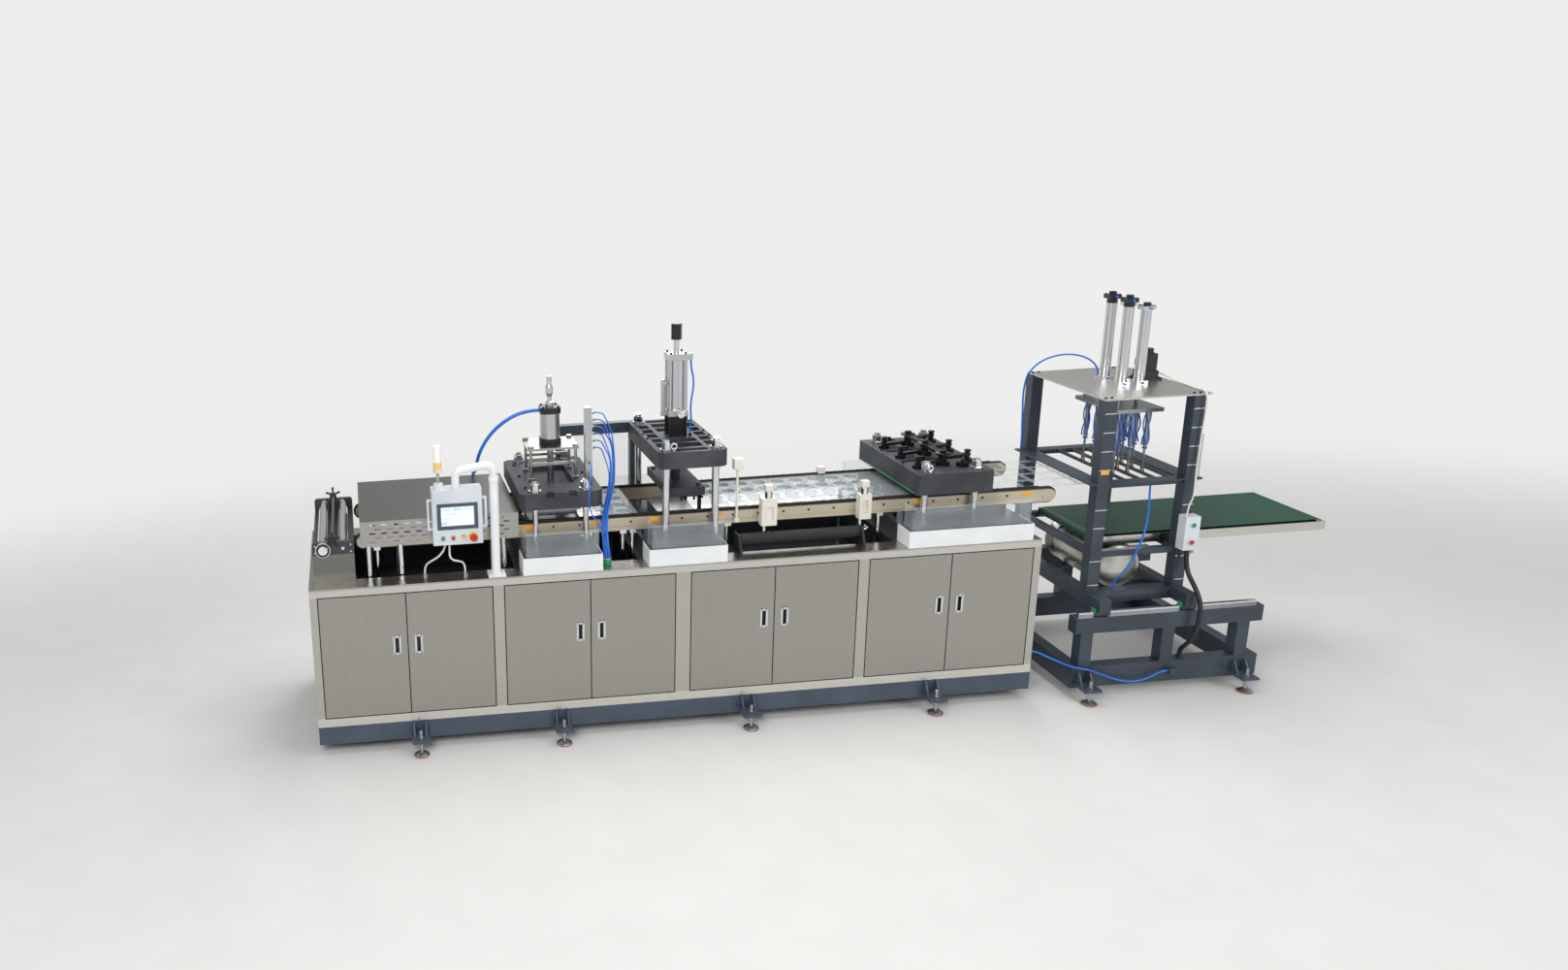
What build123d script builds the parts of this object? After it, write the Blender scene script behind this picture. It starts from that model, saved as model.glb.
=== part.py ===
"""Thermoforming machine: heats a plastic film, forms it, punches it, cuts it and stacks the cups.

X runs along the line from the infeed to the outfeed, Y runs to the back and Z up from the floor.
The origin is on the floor in the middle of the line. Lengths are in millimetres, and places along
the line are counted from the left end of the cabinets.
"""

import os
from math import radians, tan

from build123d import *

os.makedirs("parts", exist_ok=True)

# Whole line, added up from its parts
cabinet_length = 2250
cabinet_depth = 1080
stack_gap = 250
stack_base_length = 1240
conveyor_overhang = 570
cabinets_length = 2 * cabinet_length
stack_base_start = cabinets_length + stack_gap
line_length = stack_base_start + stack_base_length + conveyor_overhang
left = -line_length / 2
right = line_length / 2
front = -cabinet_depth / 2
back = cabinet_depth / 2
seam = left + cabinet_length
cabinets_end = left + cabinets_length

# Feet and base frame
foot_gap = 70
cabinet_foot_x = (615, 1492, 2662, 3846)
foot_reach = 88
pad_radius = 46
pad_edge = 8
pad_height = 24
stud_radius = 9
stud_clearance = 1
stud_rise = 66
foot_nut_radius = 17
foot_nut_height = 14
bracket_rise = 22
bracket_width = 110
bracket_thick = 14
bracket_lip = 42
gusset_thick = 10
gusset_spread = 72
gusset_height = 74
gusset_foot = 20
rail_height = 117
rail_width = 80
base_bays = 7

# Cabinet shell and front: trims, stiles and doors
wall = 6
trim_height = 53
nosing_height = 40
frame_depth = 25
end_stile = 45
pair_stile = 64
door_height = 777
door_thick = 22
door_skin = 4
door_rim = 28
door_gap = 6
handle_width = 40
handle_height = 112
handle_depth = 15
handle_from_edge = 62
handle_rise = 60
bezel_proud = 2
bezel_rim = 5

rail_top = foot_gap + rail_height
door_zone_bottom = rail_top + trim_height
door_zone_height = door_height + 2 * door_gap
door_zone_top = door_zone_bottom + door_zone_height
counter_thick = 10
counter_bottom = door_zone_top + nosing_height
counter_z = counter_bottom + counter_thick
door_zone_width = (cabinet_length - 2 * end_stile - pair_stile) / 2
door_width = (door_zone_width - 3 * door_gap) / 2

# Press beds along the line, as start and end, and the wells left open between them
forming_bed = (1276, 1758)
punch_bed = (2040, 2520)
cutting_bed = (3650, 4440)
beds = (forming_bed, punch_bed, cutting_bed)
well_margin = 30
first_well_start = 60
wells = (
    (first_well_start, forming_bed[0] - well_margin),
    (forming_bed[1] + well_margin, punch_bed[0] - well_margin),
    (punch_bed[1] + well_margin, cutting_bed[0] - well_margin),
)
well_half_depth = 398
well_depth = 250
liner_thick = 4
skirt_height = 106
skirt_thick = 4
guard_height = 150
guard_thick = 6
guard_inset = 10
guard_return = 110
rear_return = 40
bed_top = counter_z + skirt_height
well_floor_top = counter_z - well_depth + liner_thick

# Film level, the two chain rails that carry the film, and the chains round them
film_z = 1322
film_thick = 2
film_lift = 4
rail_y = 290
chain_rail_width = 50
chain_rail_height = 80
chain_rail_start = 300
chain_rail_overrun = 200
chain_width = 16
chain_height = 12
rail_end = cabinets_length + chain_rail_overrun
chain_rail_bottom = film_z - chain_rail_height
rail_post_radius = 14
rail_block_length = 40
rail_bracket_thick = 8

# Infeed clamp rollers on their pedestal
infeed_start = 34
infeed_length = 248
infeed_half_width = 440
pedestal_top = 1262
pedestal_sheet = 3
casting_thick = 30
casting_height = 75
casting_corner = 12
clamp_roller_radius = 34
clamp_roller_z = 1300
clamp_roller_pitch = 118
roller_shaft = 10
shaft_clearance = 0.5
roller_end_gap = 2
dial_radius = 45
dial_thick = 22
dial_gap = 12
lug_width = 44
lug_height = 34
clamp_shaft = 9

# Oven
oven_start = 323
oven_length = 949
oven_half_width = 413
oven_bottom = 1285
oven_top = 1439
oven_wall = 4
oven_flange = 44
oven_post_radius = 18
oven_post_inset = 30
slot_length = 36
slot_height = 8
slot_pitch = 70
slot_row_pitch = 26
slot_rows = 5

# Control panel on its swivel arm
panel_post_x = 1122
panel_post_y = -482
panel_post_radius = 27
panel_flange = 104
panel_flange_thick = 12
arm_z = 1770
arm_radius = 24
arm_reach = 225
arm_drop = 30
arm_bend = 50
swivel_drop = 110
swivel_height = 36
swivel_gap = 0.5
panel_width = 296
panel_depth = 110
panel_bottom = 1305
panel_top = 1640
panel_corner = 10
panel_grip = 22
grip_thick = 12
grip_depth = 14
grip_bottom = 90
grip_height = 190
screen_width = 196
screen_height = 116
screen_rim = 22
screen_proud = 5
screen_z = 1482
button_z = 1347
buttons = ((-90, 11, 12), (-30, 11, 12), (30, 11, 12), (90, 18, 22))
beacon_radius = 24
beacon_from_edge = 46

# Forming station
forming_x = 1542
forming_plate = 504
forming_half_depth = 385
forming_bottom = 1431
forming_thick = 102
forming_pitch = 309
forming_pitch_y = 672
forming_column = 17
head_corner = 30
stand_height = 195
stand_plate = 14
stand_pitch = 280
stand_pitch_y = 220
stand_rod = 9
plug_lift = 21
plug_rod = 20
rod_clearance = 1
tool_length = 280
tool_depth = 500

# Punching station
punch_x = 2343
punch_plate = 424
punch_half_depth = 405
punch_bottom = 1639
punch_thick = 104
punch_pitch = 307
punch_pitch_y = 690
punch_column = 22
pocket_depth = 70
platen_bottom = 1415
platen_thick = 54
platen_length = 236
ram_radius = 30
punch_cap = 124
punch_spacer = 130

# Cutting station
cutting_x = 3984
cutting_plate = 488
cutting_half_depth = 424
cutting_bottom = 1372
cutting_thick = 133
cutting_pitch = 322
cutting_pitch_y = 700
cutting_column = 20

# Column nuts
washer_radius = 36
washer_height = 10
nut_radius = 31
nut_height = 38
column_tip = 14
collar_height = 18

# Stacking station
stack_half_depth = 580
stack_foot_inset = 79
stack_foot_outset = 123
stack_base_top = 210
stack_tube = 80
beam_bottom = 440
beam_height = 105
guide_rail_height = 24
guide_rail_width = 24
slide_clearance = 1
bogie_gap = 5
carriage_start = stack_base_start + 140
carriage_length = 690
carriage_half_depth = 426
carriage_tube = 76
post_start = carriage_start + 40
post_pitch = 570
post_y = 396
stack_plate_z = 1900
stack_plate_thick = 10
mid_frame_z = 1335
mid_frame_tube = 36
mid_plate_thick = 10
mid_plate_overhang = 40
lift_x = carriage_start + 380
lift_pitch = 120
lift_pitch_y = 170
lift_rod = 12
lift_cap = 74
pick_z = 1756
pick_plate_thick = 24
pick_rod_length = 500
arm_pitch = 100
arm_pitch_y = 105
tank_offset = 433
tank_radius = 150
tank_z = 760
tank_half_length = 330
tank_dome = 60
tank_rest_y = 180
belt_z = 985
belt_offset = 240
belt_half_width = 290
belt_thick = 4
belt_radius = 32
side_rail_width = 22
side_rail_height = 56

# Hoses and cables
arch_hose_radius = 11
tube_radius = 4
punch_hose_radius = 6
cable_radius = 6
drop_hose_radius = 6
black_cable_radius = 14
gland_radius = 17
gland_height = 12


def box_at(x, y, z, length, width, height):
    """Upright box whose base is centred on x, y at height z."""
    with Locations((x, y, z)):
        return Box(length, width, height, align=(Align.CENTER, Align.CENTER, Align.MIN))


def cut_box_at(x, y, z, length, width, height):
    """Upright box cut away, its base centred on x, y at height z."""
    with Locations((x, y, z)):
        Box(length, width, height, align=(Align.CENTER, Align.CENTER, Align.MIN), mode=Mode.SUBTRACT)


def rod_at(x, y, z, radius, height):
    """Upright rod that stands on x, y at height z."""
    with Locations((x, y, z)):
        return Cylinder(radius, height, align=(Align.CENTER, Align.CENTER, Align.MIN))


def bore_at(x, y, z, radius, height):
    """Upright bore cut upwards from x, y, z."""
    with Locations((x, y, z)):
        Cylinder(radius, height, align=(Align.CENTER, Align.CENTER, Align.MIN), mode=Mode.SUBTRACT)


def hex_at(x, y, z, radius, height):
    """Upright hexagon nut that stands on x, y at height z."""
    with BuildSketch(Plane.XY.offset(z)) as outline:
        with Locations((x, y)):
            RegularPolygon(radius, 6)
    extrude(outline.sketch, amount=height)


def disc_facing_front(x, y, z, radius, thick):
    """Round piece whose back is at y and which faces the front of the machine."""
    with BuildSketch(Plane.XZ.offset(-y)) as outline:
        with Locations((x, z)):
            Circle(radius)
    extrude(outline.sketch, amount=thick)


def bar_across(x, z, radius, half_width):
    """Round bar across the line, as far to the front as to the back."""
    with BuildSketch(Plane.XZ) as outline:
        with Locations((x, z)):
            Circle(radius)
    extrude(outline.sketch, amount=half_width, both=True)


def link_bar(start, end, z, width, thick):
    """Flat link with round ends between two pins."""
    middle = ((start[0] + end[0]) / 2, (start[1] + end[1]) / 2)
    with BuildSketch(Plane.XY.offset(z)) as outline:
        SlotCenterPoint(middle, end, width)
    extrude(outline.sketch, amount=thick)


def bend_radii(route):
    """Bend radius at each corner of a route, as large as its two runs allow."""
    radii = []
    for before, corner, after in zip(route, route[1:], route[2:]):
        arriving = Vector(*corner) - Vector(*before)
        leaving = Vector(*after) - Vector(*corner)
        half_turn = radians(arriving.get_angle(leaving) / 2)
        radii.append(0.45 * min(arriving.length, leaving.length) / tan(half_turn))
    return radii


def hose_along(title, route, radius):
    """Hose of straight runs joined by arcs. The route's places are counted from the left end."""
    places = [(left + x, y, z) for x, y, z in route]
    radii = bend_radii(places)
    print(f"{title}: radius {radius}, bends {min(radii):.0f} to {max(radii):.0f}")
    with BuildLine() as path:
        FilletPolyline(*places, radius=radii)
    with BuildSketch(Plane(path.line @ 0, z_dir=path.line % 0)) as section:
        Circle(radius)
    sweep(section.sketch, path=path.line)


def save(part, name):
    part.label = name
    export_step(part, f"parts/{name}.step")


# Base frame: box sections all round, one spine and cross members under both cabinets
base_window = (cabinets_length - (base_bays + 1) * rail_width) / base_bays
base_window_depth = (cabinet_depth - 3 * rail_width) / 2
with BuildPart() as base_frame:
    with BuildSketch(Plane.XY.offset(foot_gap)):
        with Locations((seam, 0)):
            Rectangle(cabinets_length, cabinet_depth)
            with GridLocations(base_window + rail_width, base_window_depth + rail_width, base_bays, 2):
                Rectangle(base_window, base_window_depth, mode=Mode.SUBTRACT)
    extrude(amount=rail_height)
save(base_frame.part, "base_frame")

# Foot places: four along each side of the cabinets, two along each side of the stacking station
stack_foot_x = (stack_base_start + stack_foot_inset, stack_base_start + stack_base_length - stack_foot_outset)
foot_places = [(left + x, side, side * cabinet_depth / 2) for x in cabinet_foot_x for side in (-1, 1)]
foot_places += [(left + x, side, side * stack_half_depth) for x in stack_foot_x for side in (-1, 1)]
bracket_z = foot_gap + bracket_rise
bracket_top = bracket_z + bracket_thick

with BuildPart() as foot_brackets:
    for x, side, face in foot_places:
        reach = foot_reach + bracket_lip
        with BuildSketch(Plane.XY.offset(bracket_z)):
            with Locations((x, face + side * reach / 2)):
                Rectangle(bracket_width, reach)
            with Locations((x, face + side * foot_reach)):
                Circle(stud_radius + stud_clearance, mode=Mode.SUBTRACT)
        extrude(amount=bracket_thick)
        gusset_end = foot_reach - stud_radius - foot_nut_radius
        for offset in (-gusset_spread / 2, gusset_spread / 2):
            with BuildSketch(Plane.YZ.offset(x + offset - gusset_thick / 2)):
                Polygon((face, bracket_top), (face + side * gusset_end, bracket_top),
                        (face + side * gusset_foot, bracket_top + gusset_height),
                        (face, bracket_top + gusset_height), align=None)
            extrude(amount=gusset_thick)
save(foot_brackets.part, "foot_brackets")

with BuildPart() as levelling_feet:
    for x, side, face in foot_places:
        y = face + side * foot_reach
        rod_at(x, y, 0, pad_radius, pad_edge)
        with Locations((x, y, pad_edge)):
            Cone(pad_radius, 2 * stud_radius, pad_height - pad_edge, align=(Align.CENTER, Align.CENTER, Align.MIN))
        rod_at(x, y, pad_height, stud_radius, bracket_z + stud_rise - pad_height)
        for nut_z in (bracket_z - foot_nut_height, bracket_top):
            hex_at(x, y, nut_z, foot_nut_radius, foot_nut_height)
save(levelling_feet.part, "levelling_feet")

# Cabinet shell: end walls, the partition at the seam, the back and the floor, in one welding
shell_height = counter_bottom - rail_top
shell_front = front + frame_depth
shell_depth = back - shell_front
shell_y = (shell_front + back) / 2
with BuildPart() as cabinet_shell:
    box_at(left + wall / 2, shell_y, rail_top, wall, shell_depth, shell_height)
    box_at(seam, shell_y, rail_top, 2 * wall, shell_depth, shell_height)
    box_at(cabinets_end - wall / 2, shell_y, rail_top, wall, shell_depth, shell_height)
    box_at(seam, back - wall / 2, rail_top, cabinets_length, wall, shell_height)
    box_at(seam, shell_y, rail_top, cabinets_length, shell_depth, wall)
    with BuildSketch(Plane.YZ.offset(cabinets_end)):
        with Locations((-480, 300)):
            Circle(gland_radius)
    extrude(amount=gland_height)
save(cabinet_shell.part, "cabinet_shell")

# Front frame: one stainless frame for each cabinet, with two openings for a pair of doors each
pair_pitch = door_zone_width + pair_stile
with BuildPart() as front_frame:
    for start in (left, seam):
        middle = start + cabinet_length / 2
        with BuildSketch(Plane.XZ.offset(-shell_front)):
            with Locations((middle, (rail_top + counter_bottom) / 2)):
                Rectangle(cabinet_length, counter_bottom - rail_top)
            with Locations((middle - pair_pitch / 2, door_zone_bottom + door_zone_height / 2),
                           (middle + pair_pitch / 2, door_zone_bottom + door_zone_height / 2)):
                Rectangle(door_zone_width, door_zone_height, mode=Mode.SUBTRACT)
        extrude(amount=frame_depth)
save(front_frame.part, "front_frame")

# Doors: folded sheet pans that hang in pairs, each with a recessed pull near the middle of its pair
door_bottom = door_zone_bottom + door_gap
door_centre_z = door_bottom + door_height / 2
handle_z = door_centre_z + handle_rise
door_starts = []
for start in (left, seam):
    for pair in (-1, 1):
        pair_left = start + cabinet_length / 2 + pair * pair_pitch / 2 - door_zone_width / 2 + door_gap
        door_starts.append((pair_left, 1))
        door_starts.append((pair_left + door_width + door_gap, -1))

for number, (door_left, hinge_side) in enumerate(door_starts, start=1):
    middle = door_left + door_width / 2
    handle_x = middle + hinge_side * (door_width / 2 - handle_from_edge)
    with BuildPart() as door:
        with BuildSketch(Plane.XZ.offset(-front - door_thick)):
            with Locations((middle, door_centre_z)):
                Rectangle(door_width, door_height)
        extrude(amount=door_thick)
        with BuildSketch(Plane.XZ.offset(-front - door_thick)):
            with Locations((middle, door_centre_z)):
                Rectangle(door_width - 2 * door_rim, door_height - 2 * door_rim)
            with Locations((handle_x, handle_z)):
                Rectangle(handle_width + 4 * bezel_rim, handle_height + 4 * bezel_rim, mode=Mode.SUBTRACT)
        extrude(amount=door_thick - door_skin, mode=Mode.SUBTRACT)
        with BuildSketch(Plane.XZ.offset(-front)):
            with Locations((handle_x, handle_z)):
                RectangleRounded(handle_width + 2 * bezel_rim, handle_height + 2 * bezel_rim, 2 * bezel_rim)
        extrude(amount=bezel_proud)
        with BuildSketch(Plane.XZ.offset(-front + bezel_proud)):
            with Locations((handle_x, handle_z)):
                RectangleRounded(handle_width, handle_height, bezel_rim)
        extrude(amount=-handle_depth - bezel_proud, mode=Mode.SUBTRACT)
    save(door.part, f"door_{number}")

# Counter with its three wells, and the glands where hoses and cables go through it
arch_gland = (1100, 475)
panel_glands = ((697, -420), (938, -448))
with BuildPart() as counter_top:
    with BuildSketch(Plane.XY.offset(counter_bottom)):
        with Locations((seam, 0)):
            Rectangle(cabinets_length, cabinet_depth)
        for start, end in wells:
            with Locations((left + (start + end) / 2, 0)):
                Rectangle(end - start, 2 * well_half_depth, mode=Mode.SUBTRACT)
    extrude(amount=counter_thick)
    for gland_x, gland_y in (arch_gland, *panel_glands):
        rod_at(left + gland_x, gland_y, counter_z, gland_radius, gland_height)
save(counter_top.part, "counter_top")

# Black trays that line the wells
well_floor = counter_z - well_depth
with BuildPart() as well_liners:
    for start, end in wells:
        middle = left + (start + end) / 2
        with BuildSketch(Plane.XY.offset(well_floor)):
            with Locations((middle, 0)):
                Rectangle(end - start + 2 * liner_thick, 2 * (well_half_depth + liner_thick))
        extrude(amount=counter_bottom - well_floor)
        with BuildSketch(Plane.XY.offset(well_floor_top)):
            with Locations((middle, 0)):
                Rectangle(end - start, 2 * well_half_depth)
        extrude(amount=counter_bottom - well_floor, mode=Mode.SUBTRACT)
save(well_liners.part, "well_liners")

# Chain rails with round noses through the whole machine, and a chain loop round each
rail_length = rail_end - chain_rail_start
rail_middle = left + (chain_rail_start + rail_end) / 2
rail_centre_z = film_z - chain_rail_height / 2
with BuildPart() as chain_rails:
    for y in (-rail_y, rail_y):
        with BuildSketch(Plane.XZ.offset(-y - chain_rail_width / 2)):
            with Locations((rail_middle, rail_centre_z)):
                SlotOverall(rail_length, chain_rail_height)
        extrude(amount=chain_rail_width)
        cut_box_at(rail_middle, y - chain_rail_width / 2, film_z - 56, rail_length - 2 * chain_rail_height, 8, 12)
        cut_box_at(rail_middle, y + chain_rail_width / 2, film_z - 56, rail_length - 2 * chain_rail_height, 8, 12)
save(chain_rails.part, "chain_rails")

with BuildPart() as feed_chains:
    for y in (-rail_y, rail_y):
        with BuildSketch(Plane.XZ.offset(-y - chain_width / 2)):
            with Locations((rail_middle, rail_centre_z)):
                SlotOverall(rail_length + 2 * chain_height, chain_rail_height + 2 * chain_height)
                SlotOverall(rail_length, chain_rail_height, mode=Mode.SUBTRACT)
        extrude(amount=chain_width)
save(feed_chains.part, "feed_chains")

# Chrome posts in the wells under the oven and the rails, and the blocks that hold the rails on the beds
oven_middle = left + oven_start + oven_length / 2
oven_post_y = well_half_depth - oven_post_inset
oven_post_offsets = (-oven_length / 2 + oven_flange, -oven_length / 4, oven_length / 2 - 2 * oven_flange)
rail_foot_y = rail_y + (chain_width + chain_rail_width) / 4
rail_foot_width = (chain_rail_width - chain_width) / 2
middle_well = wells[1]
feed_well = wells[2]
rail_posts = (420, 1180, middle_well[0] + 145, middle_well[1] - 15, feed_well[0] + 40, feed_well[1] - 60)
rail_blocks = [end + side * rail_block_length for bed in beds for end, side in zip(bed, (1, -1))]
with BuildPart() as support_posts:
    for offset in oven_post_offsets:
        for y in (-oven_post_y, oven_post_y):
            rod_at(oven_middle + offset, y, well_floor_top, oven_post_radius, oven_bottom - well_floor_top)
    for post in rail_posts:
        for y in (-rail_y, rail_y):
            plate_z = chain_rail_bottom - chain_height - rail_bracket_thick
            rod_at(left + post, y, well_floor_top, rail_post_radius, plate_z - well_floor_top)
            box_at(left + post, y, plate_z, rail_block_length, chain_rail_width, rail_bracket_thick)
            for lip_y in (-rail_foot_width, rail_foot_width):
                box_at(left + post, y + lip_y, plate_z, rail_block_length, rail_foot_width,
                       chain_rail_bottom - plate_z)
    for block in rail_blocks:
        for y in (-rail_y, rail_y):
            box_at(left + block, y, bed_top, rail_block_length, chain_rail_width, chain_rail_bottom - bed_top)
            cut_box_at(left + block, y, chain_rail_bottom - chain_height, rail_block_length, chain_width,
                       chain_height)
save(support_posts.part, "support_posts")

# Infeed pedestal with the end castings of the clamp rollers and the clamping shaft on top
infeed_middle = left + infeed_start + infeed_length / 2
roller_places = (infeed_middle - clamp_roller_pitch / 2, infeed_middle + clamp_roller_pitch / 2)
casting_top = pedestal_top + casting_height
lug_z = casting_top + lug_height / 2
with BuildPart() as infeed_bracket:
    box_at(infeed_middle, 0, counter_z, infeed_length, 2 * infeed_half_width, pedestal_top - counter_z)
    cut_box_at(infeed_middle, 0, counter_z, infeed_length - 2 * pedestal_sheet,
               2 * (infeed_half_width - pedestal_sheet), pedestal_top - counter_z - pedestal_sheet)
    for casting_y in (-infeed_half_width + casting_thick, infeed_half_width):
        with BuildSketch(Plane.XZ.offset(-casting_y)) as casting:
            with Locations((infeed_middle, pedestal_top + casting_height / 2)):
                Rectangle(infeed_length, casting_height)
            chamfer(casting.vertices().group_by(Axis.Y)[-1], casting_corner)
            with Locations((infeed_middle, lug_z)):
                Rectangle(lug_width, lug_height)
            with Locations(*[(x, clamp_roller_z) for x in roller_places]):
                Circle(roller_shaft + shaft_clearance, mode=Mode.SUBTRACT)
        extrude(amount=casting_thick)
    bar_across(infeed_middle, lug_z, clamp_shaft, infeed_half_width)
save(infeed_bracket.part, "infeed_bracket")

with BuildPart() as infeed_rollers:
    for x in roller_places:
        bar_across(x, clamp_roller_z, roller_shaft, infeed_half_width + dial_gap)
        bar_across(x, clamp_roller_z, clamp_roller_radius, infeed_half_width - casting_thick - roller_end_gap)
    disc_facing_front(roller_places[0], -infeed_half_width - dial_gap, clamp_roller_z, dial_radius, dial_thick)
save(infeed_rollers.part, "infeed_rollers")

# Oven: open-bottomed cover, cut away at both ends where the film passes, slotted along both sides
oven_gate_half = rail_y + chain_rail_width / 2 + 20
oven_gate_top = film_z + chain_height + 18
slot_middle_z = (oven_bottom + oven_top) / 2
slot_columns = int((oven_length - slot_pitch) / slot_pitch)
with BuildPart() as oven_cover:
    box_at(oven_middle, 0, oven_bottom, oven_length, 2 * oven_half_width, oven_top - oven_bottom)
    cut_box_at(oven_middle, 0, oven_bottom, oven_length - 2 * oven_flange, 2 * (oven_half_width - oven_flange),
               oven_wall)
    cut_box_at(oven_middle, 0, oven_bottom + oven_wall, oven_length - 2 * oven_wall,
               2 * (oven_half_width - oven_wall), oven_top - oven_bottom - 2 * oven_wall)
    cut_box_at(oven_middle, 0, oven_bottom, oven_length, 2 * oven_gate_half, oven_gate_top - oven_bottom)
    with BuildSketch(Plane.XZ):
        for row in range(slot_rows):
            shift = slot_pitch / 4 if row % 2 else -slot_pitch / 4
            with Locations((oven_middle + shift, slot_middle_z + (row - (slot_rows - 1) / 2) * slot_row_pitch)):
                with GridLocations(slot_pitch, slot_row_pitch, slot_columns, 1):
                    Rectangle(slot_length, slot_height)
    extrude(amount=oven_half_width + oven_wall, both=True, mode=Mode.SUBTRACT)
save(oven_cover.part, "oven_cover")

# Control panel: fixed post, swivel arm, enclosure, buttons and beacon
post_x = left + panel_post_x
swivel_z = arm_z - swivel_drop
with BuildPart() as panel_post:
    box_at(post_x, panel_post_y, counter_z, panel_flange, panel_flange, panel_flange_thick)
    rod_at(post_x, panel_post_y, counter_z, panel_post_radius, swivel_z - swivel_gap - counter_z)
save(panel_post.part, "panel_post")

panel_x = post_x - arm_reach
with BuildPart() as panel_arm:
    rod_at(post_x, panel_post_y, swivel_z, panel_post_radius, swivel_height)
    with BuildLine() as arm_path:
        FilletPolyline((post_x, panel_post_y, swivel_z + swivel_height), (post_x, panel_post_y, arm_z),
                       (panel_x, panel_post_y, arm_z - arm_drop), (panel_x, panel_post_y, panel_top), radius=arm_bend)
    with BuildSketch(Plane(arm_path.line @ 0, z_dir=arm_path.line % 0)):
        Circle(arm_radius)
    sweep(path=arm_path.line)
save(panel_arm.part, "panel_arm")

panel_face = panel_post_y - panel_depth / 2
grip_y = panel_post_y - panel_depth / 4
grip_z = panel_bottom + grip_bottom
with BuildPart() as panel_box:
    box_at(panel_x, panel_post_y, panel_bottom, panel_width, panel_depth, panel_top - panel_bottom)
    fillet(panel_box.edges().filter_by(Axis.Z), panel_corner)
    for side in (-1, 1):
        grip_x = panel_x + side * (panel_width / 2 + panel_grip)
        box_at(grip_x, grip_y, grip_z, grip_thick, grip_depth, grip_height)
        for z in (grip_z, grip_z + grip_height - grip_thick):
            box_at(grip_x - side * panel_grip / 2, grip_y, z, panel_grip, grip_depth, grip_thick)
    with BuildSketch(Plane.XZ.offset(-panel_face)):
        with Locations((panel_x, screen_z)):
            RectangleRounded(screen_width + 2 * screen_rim, screen_height + 2 * screen_rim, screen_rim / 2)
            Rectangle(screen_width, screen_height, mode=Mode.SUBTRACT)
    extrude(amount=screen_proud)
save(panel_box.part, "panel_box")

with BuildPart() as panel_buttons:
    for place, radius, length in buttons:
        disc_facing_front(panel_x + place, panel_face, button_z, radius, length)
save(panel_buttons.part, "panel_buttons")

beacon_parts = ((beacon_radius + 4, 30), (9, 70), (beacon_radius + 3, 10), (beacon_radius, 150))
with BuildPart() as panel_beacon:
    beacon_x = panel_x - panel_width / 2 + beacon_from_edge
    beacon_z = panel_top
    for radius, height in beacon_parts:
        rod_at(beacon_x, panel_post_y, beacon_z, radius, height)
        beacon_z += height
save(panel_beacon.part, "panel_beacon")

# Press beds on the counter, with white skirts at the front and the back
bed_depth = cabinet_depth - 2 * skirt_thick
with BuildPart() as press_beds:
    for start, end in beds:
        box_at(left + (start + end) / 2, 0, counter_z, end - start - 2 * skirt_thick, bed_depth, skirt_height)
save(press_beds.part, "press_beds")

skirt_return = 160
with BuildPart() as station_skirts:
    for start, end in beds:
        middle = left + (start + end) / 2
        for side in (-1, 1):
            box_at(middle, side * (bed_depth + skirt_thick) / 2, counter_z, end - start, skirt_thick, skirt_height)
            for return_x in (left + start + skirt_thick / 2, left + end - skirt_thick / 2):
                box_at(return_x, side * (bed_depth - skirt_return) / 2, counter_z, skirt_thick, skirt_return,
                       skirt_height)
save(station_skirts.part, "station_skirts")

# Clear guards round the beds, and the tall window under the rear beam
rear_post = 60
rear_posts_x = (1685, 2185)
rear_beam_z = 1660
rear_beam_height = 70
rear_y = back - 80
window_gap = rear_posts_x[1] - rear_posts_x[0] - rear_post
with BuildPart() as guard_panels:
    for start, end in beds:
        middle = left + (start + end) / 2
        guard_length = end - start - 4 * guard_inset
        for side, reach in ((-1, guard_return), (1, rear_return)):
            guard_y = side * (bed_depth / 2 - guard_inset)
            box_at(middle, guard_y, bed_top, guard_length, guard_thick, guard_height)
            for end_side in (-1, 1):
                box_at(middle + end_side * (guard_length - guard_thick) / 2, guard_y - side * reach / 2,
                       bed_top, guard_thick, reach, guard_height)
    box_at(left + sum(rear_posts_x) / 2, rear_y, bed_top, window_gap, guard_thick, rear_beam_z - bed_top)
save(guard_panels.part, "guard_panels")

with BuildPart() as rear_beam:
    box_at(left + sum(rear_posts_x) / 2, rear_y, rear_beam_z, window_gap + 2 * rear_post, rear_post, rear_beam_height)
    for rear_post_x in rear_posts_x:
        box_at(left + rear_post_x, rear_y, bed_top, rear_post, rear_post, rear_beam_z - bed_top)
save(rear_beam.part, "rear_beam")

# Columns of the three presses, each with a collar under its plate and a washer and nut above it
columns = (
    (left + forming_x, forming_pitch, forming_pitch_y, forming_column, forming_bottom, forming_thick),
    (left + punch_x, punch_pitch, punch_pitch_y, punch_column, punch_bottom, punch_thick),
    (left + cutting_x, cutting_pitch, cutting_pitch_y, cutting_column, cutting_bottom, cutting_thick),
)
with BuildPart() as press_columns:
    for x, pitch, pitch_y, radius, plate_bottom, plate_thick in columns:
        plate_top = plate_bottom + plate_thick
        for dx in (-pitch / 2, pitch / 2):
            for dy in (-pitch_y / 2, pitch_y / 2):
                rod_at(x + dx, dy, bed_top, radius, plate_top + washer_height + nut_height + column_tip - bed_top)
                rod_at(x + dx, dy, plate_bottom - collar_height, radius + 6, collar_height)
                rod_at(x + dx, dy, plate_top, washer_radius, washer_height)
                hex_at(x + dx, dy, plate_top + washer_height, nut_radius, nut_height)
save(press_columns.part, "press_columns")

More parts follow.
